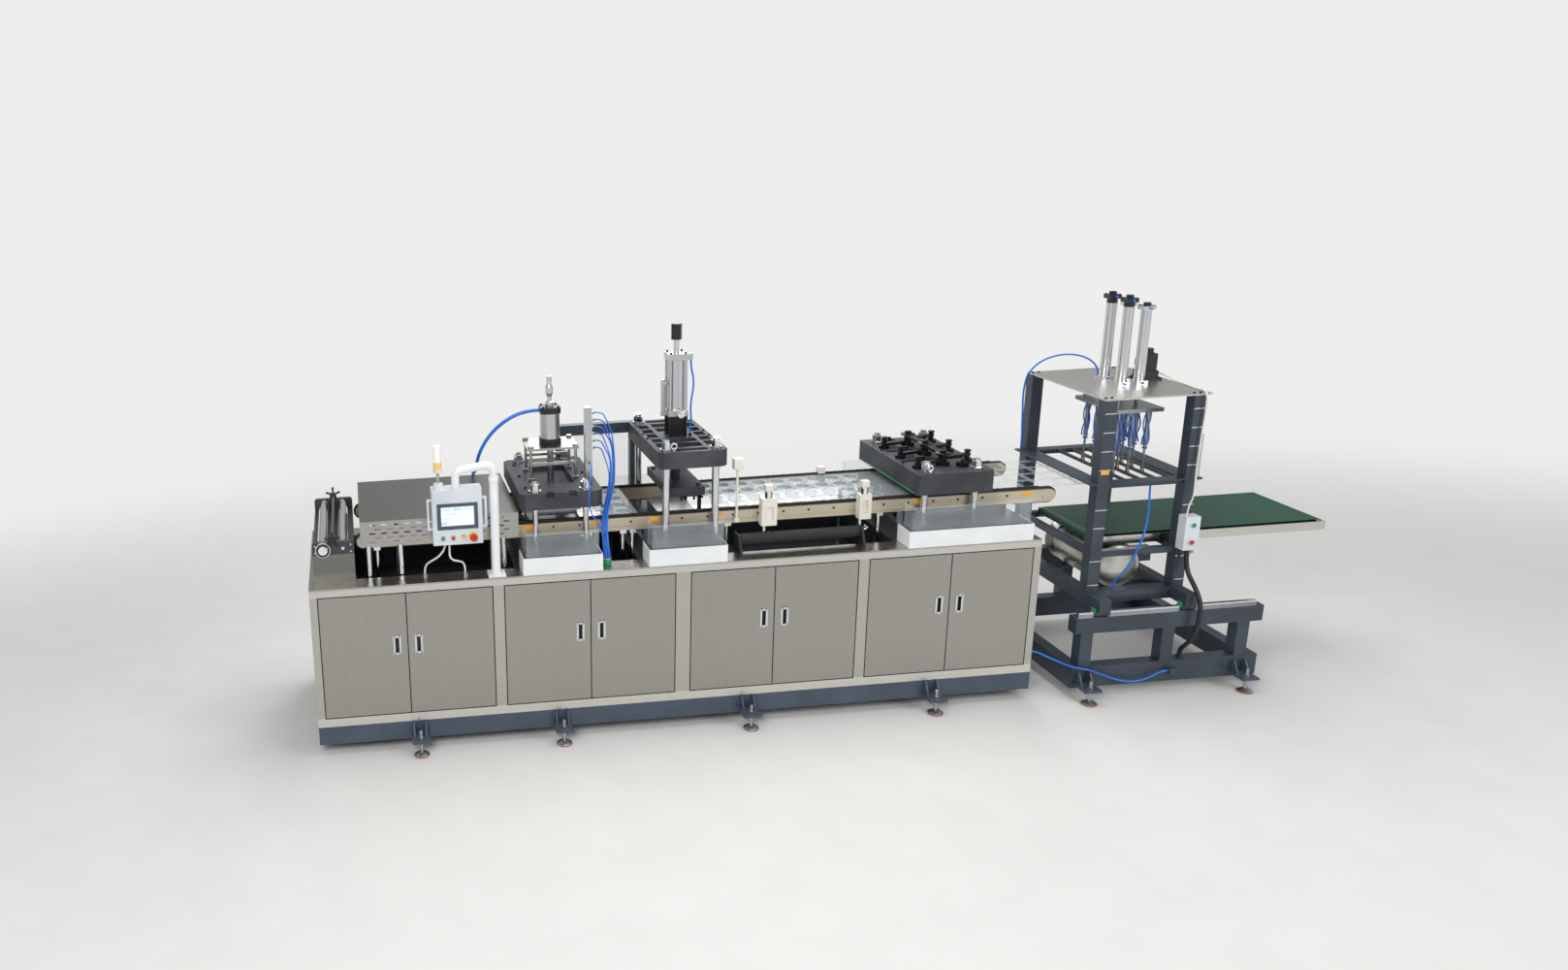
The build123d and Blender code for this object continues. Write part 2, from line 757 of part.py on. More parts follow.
# Forming head: plate with cut corners, a sunk middle and two notches along its front edge
forming_line = left + forming_x
forming_top = forming_bottom + forming_thick
column_clearance = 0.5
forming_sink = 30
with BuildPart() as forming_head:
    with BuildSketch(Plane.XY.offset(forming_bottom)) as outline:
        with Locations((forming_line, 0)):
            Rectangle(forming_plate, 2 * forming_half_depth)
        chamfer(outline.vertices(), head_corner)
        with Locations((forming_line, 0)):
            with GridLocations(forming_pitch, forming_pitch_y, 2, 2):
                Circle(forming_column + column_clearance, mode=Mode.SUBTRACT)
            Circle(plug_rod + rod_clearance, mode=Mode.SUBTRACT)
    extrude(amount=forming_thick)
    cut_box_at(forming_line, 0, forming_top - forming_sink, 230, 380, forming_sink)
    for notch_x in (-70, 70):
        cut_box_at(forming_line + notch_x, 15 - forming_half_depth, forming_top - forming_sink, 44, 30, forming_sink)
save(forming_head.part, "forming_head")

# Cylinder stand: two plates on four rods, with a tie bar half way up at the front and the back
stand_top = forming_top + stand_height + stand_plate
with BuildPart() as cylinder_stand:
    for dx in (-stand_pitch / 2, stand_pitch / 2):
        for dy in (-stand_pitch_y / 2, stand_pitch_y / 2):
            rod_at(forming_line + dx, dy, forming_top, stand_rod, stand_height)
            hex_at(forming_line + dx, dy, forming_top, 2 * stand_rod, 16)
            hex_at(forming_line + dx, dy, stand_top, 2 * stand_rod, 14)
    for dy in (-stand_pitch_y / 2, stand_pitch_y / 2):
        box_at(forming_line, dy, forming_top + stand_height / 2, stand_pitch, 12, 18)
    with BuildSketch(Plane.XY.offset(forming_top + stand_height)):
        with Locations((forming_line, 0)):
            Rectangle(stand_pitch + 40, stand_pitch_y + 40)
            Circle(plug_rod + rod_clearance, mode=Mode.SUBTRACT)
    extrude(amount=stand_plate)
save(cylinder_stand.part, "cylinder_stand")

# Forming cylinder: foot and cap plates round a smooth barrel, with the stroke adjuster on top
forming_cap = 126
forming_barrel = 62
cap_corner = 22
adjuster_profile = ((0, 0), (26, 0), (26, 26), (14, 34), (14, 60), (24, 84), (24, 120), (13, 142), (13, 150),
                    (17, 150), (17, 190), (0, 190))
with BuildPart() as forming_cylinder:
    for z, height in ((stand_top, 36), (stand_top + 196, 40)):
        with BuildSketch(Plane.XY.offset(z)) as cap:
            with Locations((forming_line, 0)):
                Rectangle(forming_cap, forming_cap)
            chamfer(cap.vertices(), cap_corner)
        extrude(amount=height)
    rod_at(forming_line, 0, stand_top + 36, forming_barrel, 160)
    with BuildSketch(Plane((forming_line, 0, stand_top + 236), x_dir=(1, 0, 0), z_dir=(0, -1, 0))):
        Polygon(*adjuster_profile, align=None)
    revolve(axis=Axis((forming_line, 0, 0), (0, 0, 1)))
    bore_at(forming_line, 0, stand_top, plug_rod + rod_clearance, 170)
save(forming_cylinder.part, "forming_cylinder")

# Moving upper mould: a carrier plate with the plug block under it, on the cylinder's rod
plug_bottom = film_z + plug_lift
plug_block = 34
with BuildPart() as forming_plug:
    box_at(forming_line, 0, plug_bottom, tool_length - 40, tool_depth - 40, plug_block)
    box_at(forming_line, 0, plug_bottom + plug_block, tool_length, tool_depth, 60 - plug_block)
    rod_at(forming_line, 0, plug_bottom + 60, plug_rod, stand_top + 150 - plug_bottom - 60)
save(forming_plug.part, "forming_plug")

# Punching head: casting with a rim, cross ribs and a solid middle under its cylinder
punch_line = left + punch_x
punch_top = punch_bottom + punch_thick
with BuildPart() as punch_head:
    with BuildSketch(Plane.XY.offset(punch_bottom)) as outline:
        with Locations((punch_line, 0)):
            Rectangle(punch_plate, 2 * punch_half_depth)
        chamfer(outline.vertices(), head_corner)
        with Locations((punch_line, 0)):
            with GridLocations(punch_pitch, punch_pitch_y, 2, 2):
                Circle(punch_column + column_clearance, mode=Mode.SUBTRACT)
            Circle(ram_radius + rod_clearance, mode=Mode.SUBTRACT)
    extrude(amount=punch_thick)
    with BuildSketch(Plane.XY.offset(punch_top)):
        with Locations((punch_line, 0)):
            with GridLocations(2 * 150, 112, 2, 5):
                Rectangle(64, 86)
        for pocket_y, pocket_width in ((-135, 80), (135, 80), (-245, 90), (245, 90)):
            with Locations((punch_line, pocket_y)):
                Rectangle(184, pocket_width)
        with Locations((punch_line, 0)):
            with GridLocations(1, 2 * 352, 1, 2):
                Rectangle(200, 50)
    extrude(amount=-pocket_depth, mode=Mode.SUBTRACT)
save(punch_head.part, "punch_head")

# Punching cylinder: spacer with guide rods, square caps, barrel with tie rods, stroke stop and gauge
cap_z = punch_top + punch_spacer
cap_height = 40
barrel_height = 316
tie_rod = 50
barrel_z = cap_z + cap_height
punch_cap_z = barrel_z + barrel_height
with BuildPart() as punch_cylinder:
    box_at(punch_line, 0, punch_top, 88, 88, punch_spacer)
    box_at(punch_line, 0, cap_z, punch_cap, punch_cap, cap_height)
    rod_at(punch_line, 0, barrel_z, 54, barrel_height)
    box_at(punch_line, 0, punch_cap_z, punch_cap, punch_cap, cap_height)
    for dx in (-tie_rod, tie_rod):
        for dy in (-tie_rod, tie_rod):
            rod_at(punch_line + dx, dy, punch_top, 8, punch_cap_z - punch_top)
    rod_at(punch_line, 0, punch_cap_z + cap_height, 17, 82)
    hex_at(punch_line, 0, punch_cap_z + cap_height + 82, 34, 100)
    rod_at(punch_line - punch_cap / 2 - 22, 0, cap_z, 12, 230)
    box_at(punch_line - punch_cap / 2 - 17, 0, cap_z, 34, 30, 30)
    box_at(punch_line - punch_cap / 2 - 17, 0, cap_z + 190, 34, 24, 20)
    disc_facing_front(punch_line + 12, -punch_cap / 2, cap_z + cap_height / 2, 28, 20)
    box_at(punch_line + punch_cap / 2 + 14, -40, punch_cap_z, 28, 26, cap_height)
    rod_at(left + 2424, -40, punch_top, 11, 16)
    bore_at(punch_line, 0, punch_top, ram_radius + rod_clearance, 160)
save(punch_cylinder.part, "punch_cylinder")

# Moving platen with its ram, three punch rods below and four clamp studs above
with BuildPart() as punch_platen:
    box_at(punch_line, 0, platen_bottom, platen_length, tool_depth, platen_thick)
    rod_at(punch_line, 0, platen_bottom + platen_thick, ram_radius, punch_top + 140 - platen_bottom - platen_thick)
    for dx in (-80, 0, 80):
        rod_at(punch_line + dx, -150, platen_bottom - 60, 7, 60)
    for dx in (-90, 90):
        for dy in (-200, 200):
            hex_at(punch_line + dx, dy, platen_bottom + platen_thick, 14, 12)
save(punch_platen.part, "punch_platen")

# Cutting head: thick block with rows of sunk slots between the toggle links
cutting_line = left + cutting_x
cutting_top = cutting_bottom + cutting_thick
with BuildPart() as cutting_head:
    with BuildSketch(Plane.XY.offset(cutting_bottom)):
        with Locations((cutting_line, 0)):
            Rectangle(cutting_plate, 2 * cutting_half_depth)
            with GridLocations(cutting_pitch, cutting_pitch_y, 2, 2):
                Circle(cutting_column + column_clearance, mode=Mode.SUBTRACT)
    extrude(amount=cutting_thick)
    with BuildSketch(Plane.XY.offset(cutting_top)):
        with Locations((cutting_line, 0)):
            with GridLocations(150, 230, 3, 2):
                Rectangle(96, 40)
    extrude(amount=-24, mode=Mode.SUBTRACT)
    chamfer(cutting_head.edges().filter_by(Axis.Z).group_by(SortBy.LENGTH)[-1].sort_by(Axis.Y)[:2], 14)
save(cutting_head.part, "cutting_head")

# Toggle links on the cutting head: three rows of outer hubs round a tall middle hub, tied by a drive bar
hub_rows = (-238, 0, 238)
outer_hub_x = 178
outer_hub = 33
middle_hub = 42
pin_radius = 15
link_width = 38
link_thick = 16
with BuildPart() as toggle_links:
    for row in hub_rows:
        rod_at(cutting_line, row, cutting_top, middle_hub, 22)
        rod_at(cutting_line, row, cutting_top + 22, pin_radius + 8, 2 * link_thick + 6)
        rod_at(cutting_line, row, cutting_top + 28 + 2 * link_thick, pin_radius, 22)
        for side in (-1, 1):
            hub_y = row + side * 36
            rod_at(cutting_line + side * outer_hub_x, hub_y, cutting_top, outer_hub, 20)
            rod_at(cutting_line + side * outer_hub_x, hub_y, cutting_top + 20, pin_radius, 2 * link_thick + 14)
            level = cutting_top + (20 if side < 0 else 24 + link_thick)
            link_bar((cutting_line, row), (cutting_line + side * outer_hub_x, hub_y), level, link_width, link_thick)
            box_at(cutting_line + side * 96, row - side * 64, cutting_top, 62, 34, 30)
            rod_at(cutting_line + side * 96, row - side * 64, cutting_top + 30, 11, 14)
    drive_z = cutting_top + 28 + 2 * link_thick
    link_bar((cutting_line, hub_rows[0]), (cutting_line, hub_rows[1]), drive_z, link_width + 6, link_thick)
    link_bar((cutting_line, hub_rows[1]), (cutting_line, hub_rows[2]), drive_z, link_width + 6, link_thick)
save(toggle_links.part, "toggle_links")

# Lower tools under the film: the layered mould, the die block and the cutting bed
mould_top = film_z - 67
with BuildPart() as lower_tools:
    box_at(forming_line, 0, bed_top, tool_length + 30, tool_depth + 20, 16)
    box_at(forming_line, 0, bed_top + 16, tool_length, tool_depth, mould_top - bed_top - 28)
    box_at(forming_line, 0, mould_top - 12, tool_length + 20, tool_depth + 10, 12)
    box_at(punch_line, 0, bed_top, platen_length, tool_depth, 60)
    box_at(cutting_line, 0, bed_top, 320, tool_depth + 20, 20)
    box_at(cutting_line, 0, bed_top + 20, 300, tool_depth, 80)
save(lower_tools.part, "lower_tools")

# Air manifold bar on the forming head with six outlets, and the socket on the counter that they feed
manifold_x = left + 1752
manifold_y = -150
manifold_width = 44
manifold_height = 460
outlets = 6
outlet_pitch = 44
outlet_z = 1736
outlet_length = 20
socket_x = 1805
socket_y = -440
socket_radius = 23
socket_height = 42
with BuildPart() as air_manifold:
    box_at(manifold_x, manifold_y, forming_top, manifold_width, 40, manifold_height)
    for outlet in range(outlets):
        with BuildSketch(Plane.YZ.offset(manifold_x + manifold_width / 2)):
            with Locations((manifold_y, outlet_z + outlet * outlet_pitch)):
                Circle(8)
        extrude(amount=outlet_length)
    disc_facing_front(manifold_x, manifold_y - 20, 1650, 9, 24)
    rod_at(left + socket_x, socket_y, counter_z, socket_radius, socket_height)
save(air_manifold.part, "air_manifold")

# Feed roller in front of the feed well, between two bearing plates on the counter
roller_start = feed_well[0] + 90
roller_end = feed_well[1] - 220
roller_y = -372
roller_z = 1150
roller_radius = 38
bearing_thick = 16
with BuildPart() as feed_roller:
    with BuildSketch(Plane.YZ.offset(left + roller_start)):
        with Locations((roller_y, roller_z)):
            Circle(roller_radius)
    extrude(amount=roller_end - roller_start)
    for bearing_x in (roller_start - bearing_thick, roller_end):
        with BuildSketch(Plane.YZ.offset(left + bearing_x)):
            Polygon((roller_y - 90, counter_z), (roller_y + 40, counter_z), (roller_y + 40, roller_z + 40),
                    (roller_y - 40, roller_z + 40), align=None)
        extrude(amount=bearing_thick)
save(feed_roller.part, "feed_roller")

# Web clamps: air units on the front rail and one on the rear rail
clamp_y = -rail_y - chain_rail_width / 2
with BuildPart() as web_clamps:
    for clamp_x, clamp_width, clamp_top in ((2832, 96, 1400), (3440, 76, 1385)):
        box_at(left + clamp_x, clamp_y - 28, 1226, clamp_width, 56, clamp_top - 1226)
        cut_box_at(left + clamp_x, clamp_y - 56, 1262, clamp_width - 44, 24, 84)
        rod_at(left + clamp_x, clamp_y - 28, clamp_top, 17, 46)
        box_at(left + clamp_x, clamp_y - 28, clamp_top + 46, 46, 40, 38)
    box_at(left + 3417, rail_y, film_z + chain_height, 44, 44, 44)
    rod_at(left + 2640, clamp_y - 10, film_z - 70, 8, 340)
    box_at(left + 2640, clamp_y - 10, film_z - 70, 30, 20, 24)
    box_at(left + 2640, clamp_y - 10, film_z + 270, 54, 50, 66)
save(web_clamps.part, "web_clamps")

# Film web between the presses and out to the stacker: round cups, then square openings once they are cut
film_half = rail_y - chain_width / 2
cup_pitch = 124
cup_pitch_y = 130
cup_radius = 46
cut_window = 92
film_end = carriage_start + 120
film_bottom = film_z + film_lift
cup_fields = ((1899, 2), (3085, 9))
window_field = (4700, 5)
with BuildPart() as film_web:
    for film_start, film_stop in ((forming_bed[1] + 10, punch_bed[0]), (punch_bed[1], film_end)):
        box_at(left + (film_start + film_stop) / 2, 0, film_bottom, film_stop - film_start, 2 * film_half, film_thick)
    with BuildSketch(Plane.XY.offset(film_bottom)):
        for field_x, cup_columns in cup_fields:
            with Locations((left + field_x, 0)):
                with GridLocations(cup_pitch, cup_pitch_y, cup_columns, 4):
                    RegularPolygon(cup_radius, 8)
        with Locations((left + window_field[0], 0)):
            with GridLocations(cup_pitch, cup_pitch_y, window_field[1], 4):
                Rectangle(cut_window, cut_window + 10)
    extrude(amount=film_thick, mode=Mode.SUBTRACT)
save(film_web.part, "film_web")

# Stacking station base: lower ring, legs and the two long beams
base_middle = left + stack_base_start + stack_base_length / 2
beam_y = stack_half_depth - stack_tube / 2
leg_places = (-stack_base_length / 2 + stack_tube, 0, stack_base_length / 2 - 1.5 * stack_tube)
with BuildPart() as stacker_base:
    with BuildSketch(Plane.XY.offset(foot_gap)):
        with Locations((base_middle, 0)):
            Rectangle(stack_base_length, 2 * stack_half_depth)
            Rectangle(stack_base_length - 2 * stack_tube, 2 * (stack_half_depth - stack_tube), mode=Mode.SUBTRACT)
    extrude(amount=stack_base_top - foot_gap)
    for y in (-beam_y, beam_y):
        for dx in leg_places:
            box_at(base_middle + dx, y, stack_base_top, stack_tube, stack_tube, beam_bottom - stack_base_top)
        box_at(base_middle, y, beam_bottom, stack_base_length, stack_tube, beam_height)
    box_at(left + 5405, -stack_half_depth - 20, 134, 40, 40, 36)
    rod_at(left + post_start + post_pitch - 8, -540, stack_base_top, black_cable_radius + 6, gland_height)
save(stacker_base.part, "stacker_base")

guide_z = beam_bottom + beam_height
guide_length = stack_base_length - 60
with BuildPart() as guide_rails:
    for y in (-beam_y, beam_y):
        box_at(base_middle, y, guide_z, guide_length, guide_rail_width, guide_rail_height)
save(guide_rails.part, "guide_rails")

# Stacker carriage: bogies on the guide rails, lower frame, posts and the frame at film level
carriage_middle = left + carriage_start + carriage_length / 2
carriage_z = guide_z + guide_rail_height + 6
posts_x = (left + post_start, left + post_start + post_pitch)
posts_middle = sum(posts_x) / 2
pick_x = left + lift_x
mid_plate_z = mid_frame_z + mid_frame_tube - mid_plate_thick
bogie_length = 90
ladder_bar = 12
conveyor_rail_bottom = belt_z - belt_thick - side_rail_height - 6
cross_tube = 40
tank_x = left + stack_base_start + tank_offset
with BuildPart() as stacker_frame:
    for post_at in posts_x:
        for y in (-post_y, post_y):
            box_at(post_at, y, carriage_z, carriage_tube, carriage_tube, stack_plate_z - carriage_z)
        box_at(post_at, 0, carriage_z, carriage_tube, 2 * beam_y + stack_tube, carriage_tube)
        box_at(post_at, 0, mid_frame_z, mid_frame_tube, 2 * post_y, mid_frame_tube)
        box_at(post_at, 0, conveyor_rail_bottom - cross_tube, cross_tube, 2 * post_y, cross_tube)
        for y in (-beam_y, beam_y):
            box_at(post_at, y, guide_z + bogie_gap, bogie_length, 60, carriage_z - guide_z - bogie_gap)
    for y in (-post_y, post_y):
        box_at(posts_middle, y, carriage_z, post_pitch, carriage_tube, carriage_tube)
        box_at(posts_middle, y, mid_frame_z, post_pitch, mid_frame_tube, mid_frame_tube)
        box_at(posts_middle, y, conveyor_rail_bottom - cross_tube, post_pitch, cross_tube, cross_tube)
    with BuildSketch(Plane.XY.offset(mid_plate_z)):
        with Locations((posts_middle, 0)):
            Rectangle(post_pitch + carriage_tube + 2 * mid_plate_overhang, 2 * post_y + carriage_tube)
            Rectangle(post_pitch - 80, 2 * post_y - 80, mode=Mode.SUBTRACT)
    extrude(amount=mid_plate_thick)
    for dx in (-1.5 * arm_pitch, -arm_pitch / 2, arm_pitch / 2, 1.5 * arm_pitch):
        box_at(pick_x + dx, 0, mid_plate_z - 10, ladder_bar, 2 * post_y - 60, 20)
    for y in (-beam_y, beam_y):
        cut_box_at(posts_middle, y, guide_z, stack_base_length, guide_rail_width + 2 * slide_clearance,
                   guide_rail_height + slide_clearance)
    for y in (-tank_rest_y, tank_rest_y):
        box_at(tank_x, y, carriage_z, 120, 40, tank_z - tank_radius - carriage_z)
        box_at(posts_middle, y, carriage_z, post_pitch, 40, 20)
save(stacker_frame.part, "stacker_frame")

stack_top = stack_plate_z + stack_plate_thick
with BuildPart() as stacker_top:
    with BuildSketch(Plane.XY.offset(stack_plate_z)):
        with Locations((carriage_middle, 0)):
            Rectangle(carriage_length, 2 * carriage_half_depth)
        with Locations((pick_x, 0)):
            with GridLocations(lift_pitch, lift_pitch_y, 2, 2):
                Circle(lift_rod + rod_clearance, mode=Mode.SUBTRACT)
    extrude(amount=stack_plate_thick)
    rod_at(pick_x - 62, 150, stack_top, gland_radius, gland_height)
save(stacker_top.part, "stacker_top")

# Lift cylinders: square caps, round barrels and a small stop on top, two of them taller
lift_cap_height = 26
lift_barrel = 31
lift_bore_height = 400
with BuildPart() as lift_cylinders:
    for dx, barrel_length in ((-lift_pitch / 2, 506), (lift_pitch / 2, 452)):
        for dy in (-lift_pitch_y / 2, lift_pitch_y / 2):
            x = pick_x + dx
            box_at(x, dy, stack_top, lift_cap, lift_cap, lift_cap_height)
            rod_at(x, dy, stack_top + lift_cap_height, lift_barrel, barrel_length)
            box_at(x, dy, stack_top + lift_cap_height + barrel_length, lift_cap, lift_cap, lift_cap_height)
            rod_at(x, dy, stack_top + 2 * lift_cap_height + barrel_length, 22, 18)
            bore_at(x, dy, stack_top, lift_rod + rod_clearance, lift_bore_height)
save(lift_cylinders.part, "lift_cylinders")

with BuildPart() as lift_motor:
    motor_x = pick_x + 190
    box_at(motor_x, 40, stack_top, 150, 120, 14)
    box_at(motor_x, 40, stack_top + 14, 104, 104, 46)
    box_at(motor_x, 40, stack_top + 60, 84, 84, 110)
    rod_at(motor_x, 40, stack_top + 170, 32, 30)
    box_at(motor_x - 56, 40, stack_top + 96, 28, 40, 40)
save(lift_motor.part, "lift_motor")

# Pick head: plate on four rods, a valve block, and twelve arms that end in suction tips
arm_stages = ((13, 236), (7, 135), (12, 40))
with BuildPart() as pick_head:
    box_at(pick_x, 0, pick_z, 2 * arm_pitch + 110, 3 * arm_pitch_y + 130, pick_plate_thick)
    box_at(pick_x - arm_pitch - 24, 0, pick_z + pick_plate_thick, 48, 300, 40)
    for dx in (-lift_pitch / 2, lift_pitch / 2):
        for dy in (-lift_pitch_y / 2, lift_pitch_y / 2):
            rod_at(pick_x + dx, dy, pick_z + pick_plate_thick, lift_rod, pick_rod_length)
    for dx in (-arm_pitch, 0, arm_pitch):
        for row in range(4):
            stage_top = pick_z
            for radius, height in arm_stages:
                stage_top -= height
                rod_at(pick_x + dx, (row - 1.5) * arm_pitch_y, stage_top, radius, height)
save(pick_head.part, "pick_head")

# Belt conveyor through the stacking station: side rails, slider bed and end rollers, and the belt round them
conveyor_start = left + stack_base_start + belt_offset
conveyor_length = right - conveyor_start
belt_middle = (conveyor_start + right) / 2
belt_centre_z = belt_z - belt_radius
side_rail_y = belt_half_width + side_rail_width / 2 + 3
inner_radius = belt_radius - belt_thick
end_roller_x = (conveyor_start + belt_radius, right - belt_radius)
with BuildPart() as conveyor_frame:
    for y in (-side_rail_y, side_rail_y):
        box_at(belt_middle, y, conveyor_rail_bottom, conveyor_length, side_rail_width, side_rail_height)
    for roller_at in end_roller_x:
        bar_across(roller_at, belt_centre_z, inner_radius, belt_half_width)
        bar_across(roller_at, belt_centre_z, 10, side_rail_y)
    box_at(belt_middle, 0, belt_centre_z, conveyor_length - 6 * belt_radius, 2 * side_rail_y, 20)
save(conveyor_frame.part, "conveyor_frame")

with BuildPart() as conveyor_belt:
    with BuildSketch(Plane.XZ.offset(-belt_half_width)):
        with Locations((belt_middle, belt_centre_z)):
            SlotOverall(conveyor_length, 2 * belt_radius)
            SlotOverall(conveyor_length - 2 * belt_thick, 2 * inner_radius, mode=Mode.SUBTRACT)
    extrude(amount=2 * belt_half_width)
save(conveyor_belt.part, "conveyor_belt")

# Air tank: cylinder along Y with coned ends
with BuildPart() as air_tank:
    with Locations((tank_x, 0, tank_z)):
        Cylinder(tank_radius, 2 * tank_half_length, rotation=(90, 0, 0))
    chamfer(air_tank.edges().filter_by(GeomType.CIRCLE), tank_dome, 0.8 * tank_dome)
save(air_tank.part, "air_tank")

# Control box with its two buttons on the front right post
box_front = -post_y - carriage_tube / 2
with BuildPart() as control_box:
    box_at(posts_x[1], box_front - 35, 920, 96, 70, 220)
    for button_height in (975, 1088):
        disc_facing_front(posts_x[1], box_front - 70, button_height, 13, 12)
save(control_box.part, "control_box")

# Filter regulator beside the post, and the slim cylinder on the frame above it
regulator_x = posts_x[1] + carriage_tube / 2 + 44
with BuildPart() as air_regulator:
    box_at(posts_x[1] + carriage_tube / 2 + 10, -post_y, 970, 20, 40, 50)
    box_at(regulator_x, -post_y, 960, 56, 60, 72)
    rod_at(regulator_x, -post_y, 862, 23, 98)
    rod_at(regulator_x, -post_y, 840, 9, 22)
    rod_at(regulator_x, -post_y, 1032, 20, 30)
    disc_facing_front(regulator_x, -post_y - 30, 1000, 18, 12)
    rod_at(posts_x[1] + carriage_tube / 2 + 24, -post_y, mid_frame_z + mid_frame_tube, 15, 270)
    box_at(posts_x[1] + carriage_tube / 2 + 24, -post_y, mid_plate_z - 66, 44, 50, 66)
save(air_regulator.part, "air_regulator")

# Free hoses of the machine, as straight runs and arcs, with places counted from the left end
arch_route = ((1479, 0, 1956), (1390, 0, 1956), (1270, 10, 1905), (1165, 30, 1810), (1100, 60, 1690), (1085, 120, 1590),
              (1086, 210, 1520), (1090, 330, 1488), (1094, 430, 1482), (1100, 480, 1420), (1106, 490, 1310),
              (1100, 475, 1200), (1100, 475, counter_z + gland_height))
bundle_line = ((1876, -168, 1850), (1887, -178, 1762), (1891, -192, 1674), (1889, -210, 1586), (1877, -232, 1500),
               (1848, -270, 1416), (1816, -328, 1346), (1802, -384, 1274), (1799, -424, 1205))
bundle_ring = 16
ring_places = ((-1, 0), (-0.5, 0.87), (-0.5, -0.87), (0.5, 0.87), (0.5, -0.87), (1, 0))
socket_top = counter_z + socket_height
bundle_routes = []
for outlet, (ring_x, ring_y) in enumerate(ring_places):
    own_z = outlet_z + outlet * outlet_pitch
    reach = 3 * outlet
    shift_x, shift_y = bundle_ring * ring_x, bundle_ring * ring_y
    lead = [(1794, -150, own_z), (1829 + reach, -150, own_z), (1848 + reach, -154, own_z - 44)]
    shared = [(x + shift_x, y + shift_y, z) for x, y, z in bundle_line if z < own_z - 95]
    ending = [(socket_x + shift_x, socket_y + shift_y, z) for z in (socket_top + 32, socket_top)]
    bundle_routes.append(lead + shared + ending)
front_route = ((1752, -194, 1650), (1752, -236, 1650), (1742, -300, 1640), (1722, -372, 1612), (1702, -424, 1556),
               (1694, -446, 1480), (1706, -456, 1410), (1738, -462, 1366), (1770, -462, 1310), (1790, -458, 1240),
               (socket_x, socket_y, 1176), (socket_x, socket_y, socket_top))
punch_route = ((2424, -40, 2229), (2424, -40, 2180), (2442, -40, 2112), (2442, -40, 2046), (2430, -40, 1982),
               (2425, -40, 1915), (2430, -40, 1850), (2424, -40, 1800), (2424, -40, punch_top + 16))
sag_route = ((cabinets_length + gland_height, -480, 300), (4556, -480, 300), (4640, -532, 262), (4740, -592, 224),
             (4850, -612, 204), (4950, -614, 160), (5060, -612, 112), (5170, -611, 96), (5270, -606, 120),
             (5336, -600, 152), (5385, -600, 152))
with BuildPart() as air_hoses:
    hose_along("arch hose", arch_route, arch_hose_radius)
    for outlet, route in enumerate(bundle_routes, start=1):
        hose_along(f"bundle tube {outlet}", route, tube_radius)
    hose_along("front tube", front_route, tube_radius)
    hose_along("punch hose", punch_route, punch_hose_radius)
    hose_along("base hose", sag_route, punch_hose_radius)
save(air_hoses.part, "air_hoses")

# Power cables: two leads from under the panel that part and go through the counter, and the control box's cable
panel_left = panel_post_x - arm_reach
left_lead = ((panel_left - 75, -482, panel_bottom), (panel_left - 75, -482, 1276), (panel_left - 100, -478, 1230),
             (panel_left - 136, -466, 1198), (panel_left - 174, -440, 1170), (697, -420, 1136),
             (697, -420, counter_z + gland_height))
right_lead = ((panel_left - 50, -482, panel_bottom), (panel_left - 50, -482, 1258), (panel_left - 52, -480, 1214),
              (panel_left - 34, -474, 1186), (panel_left - 5, -466, 1176), (panel_left + 27, -453, 1162),
              (938, -448, 1134), (938, -448, counter_z + gland_height))
post_line = post_start + post_pitch
box_route = ((post_line + 8, -469, 920), (post_line + 8, -469, 850), (post_line + 10, -500, 764),
             (post_line + 14, -566, 704), (post_line + 20, -622, 634), (post_line + 24, -634, 540),
             (post_line + 20, -630, 440), (post_line + 8, -612, 360), (post_line - 4, -570, 300),
             (post_line - 8, -540, 262), (post_line - 8, -540, stack_base_top + gland_height))
with BuildPart() as power_cables:
    hose_along("left lead", left_lead, cable_radius)
    hose_along("right lead", right_lead, cable_radius)
    hose_along("box cable", box_route, black_cable_radius)
save(power_cables.part, "power_cables")

# Stacker hoses: arch over the top plate, drop hose down the front and the motor's cable along the right post
frame_top = mid_frame_z + mid_frame_tube
plate_route = ((lift_x - 62, 150, stack_top + gland_height), (lift_x - 62, 150, 1972), (lift_x - 112, 176, 2034),
               (lift_x - 190, 226, 2060), (lift_x - 276, 292, 2044), (lift_x - 350, 350, 1992), (lift_x - 402, 384, 1910),
               (lift_x - 414, 394, 1820), (lift_x - 414, 396, 1730), (lift_x - 408, 396, 1640),
               (lift_x - 404, 396, 1550), (lift_x - 398, 394, 1460), (lift_x - 398, 394, frame_top))
drop_route = ((lift_x - 4, -396, mid_frame_z), (lift_x - 4, -396, 1290), (lift_x - 10, -412, 1230),
              (lift_x - 22, -434, 1140), (lift_x - 46, -450, 1030), (lift_x - 82, -454, 920),
              (lift_x - 122, -448, 820), (lift_x - 160, -430, 750), (lift_x - 178, -396, 700),
              (lift_x - 178, -396, carriage_z + carriage_tube))
motor_route = ((lift_x + 242, 40, 1946), (lift_x + 274, 40, 1946), (lift_x + 294, 16, 1938),
               (lift_x + 299, -28, 1928), (lift_x + 296, -120, 1921), (lift_x + 290, -240, 1920),
               (lift_x + 276, -345, 1922), (lift_x + 262, -412, 1932), (lift_x + 254, -452, 1912),
               (lift_x + 252, -456, 1860), (lift_x + 254, -455, 1780), (lift_x + 250, -453, 1700),
               (lift_x + 248, -452, 1600), (lift_x + 246, -452, 1500), (lift_x + 243, -456, 1410),
               (lift_x + 232, -474, 1340), (lift_x + 226, -482, 1260), (post_line - 24, -472, 1196),
               (post_line - 24, -472, 1140))
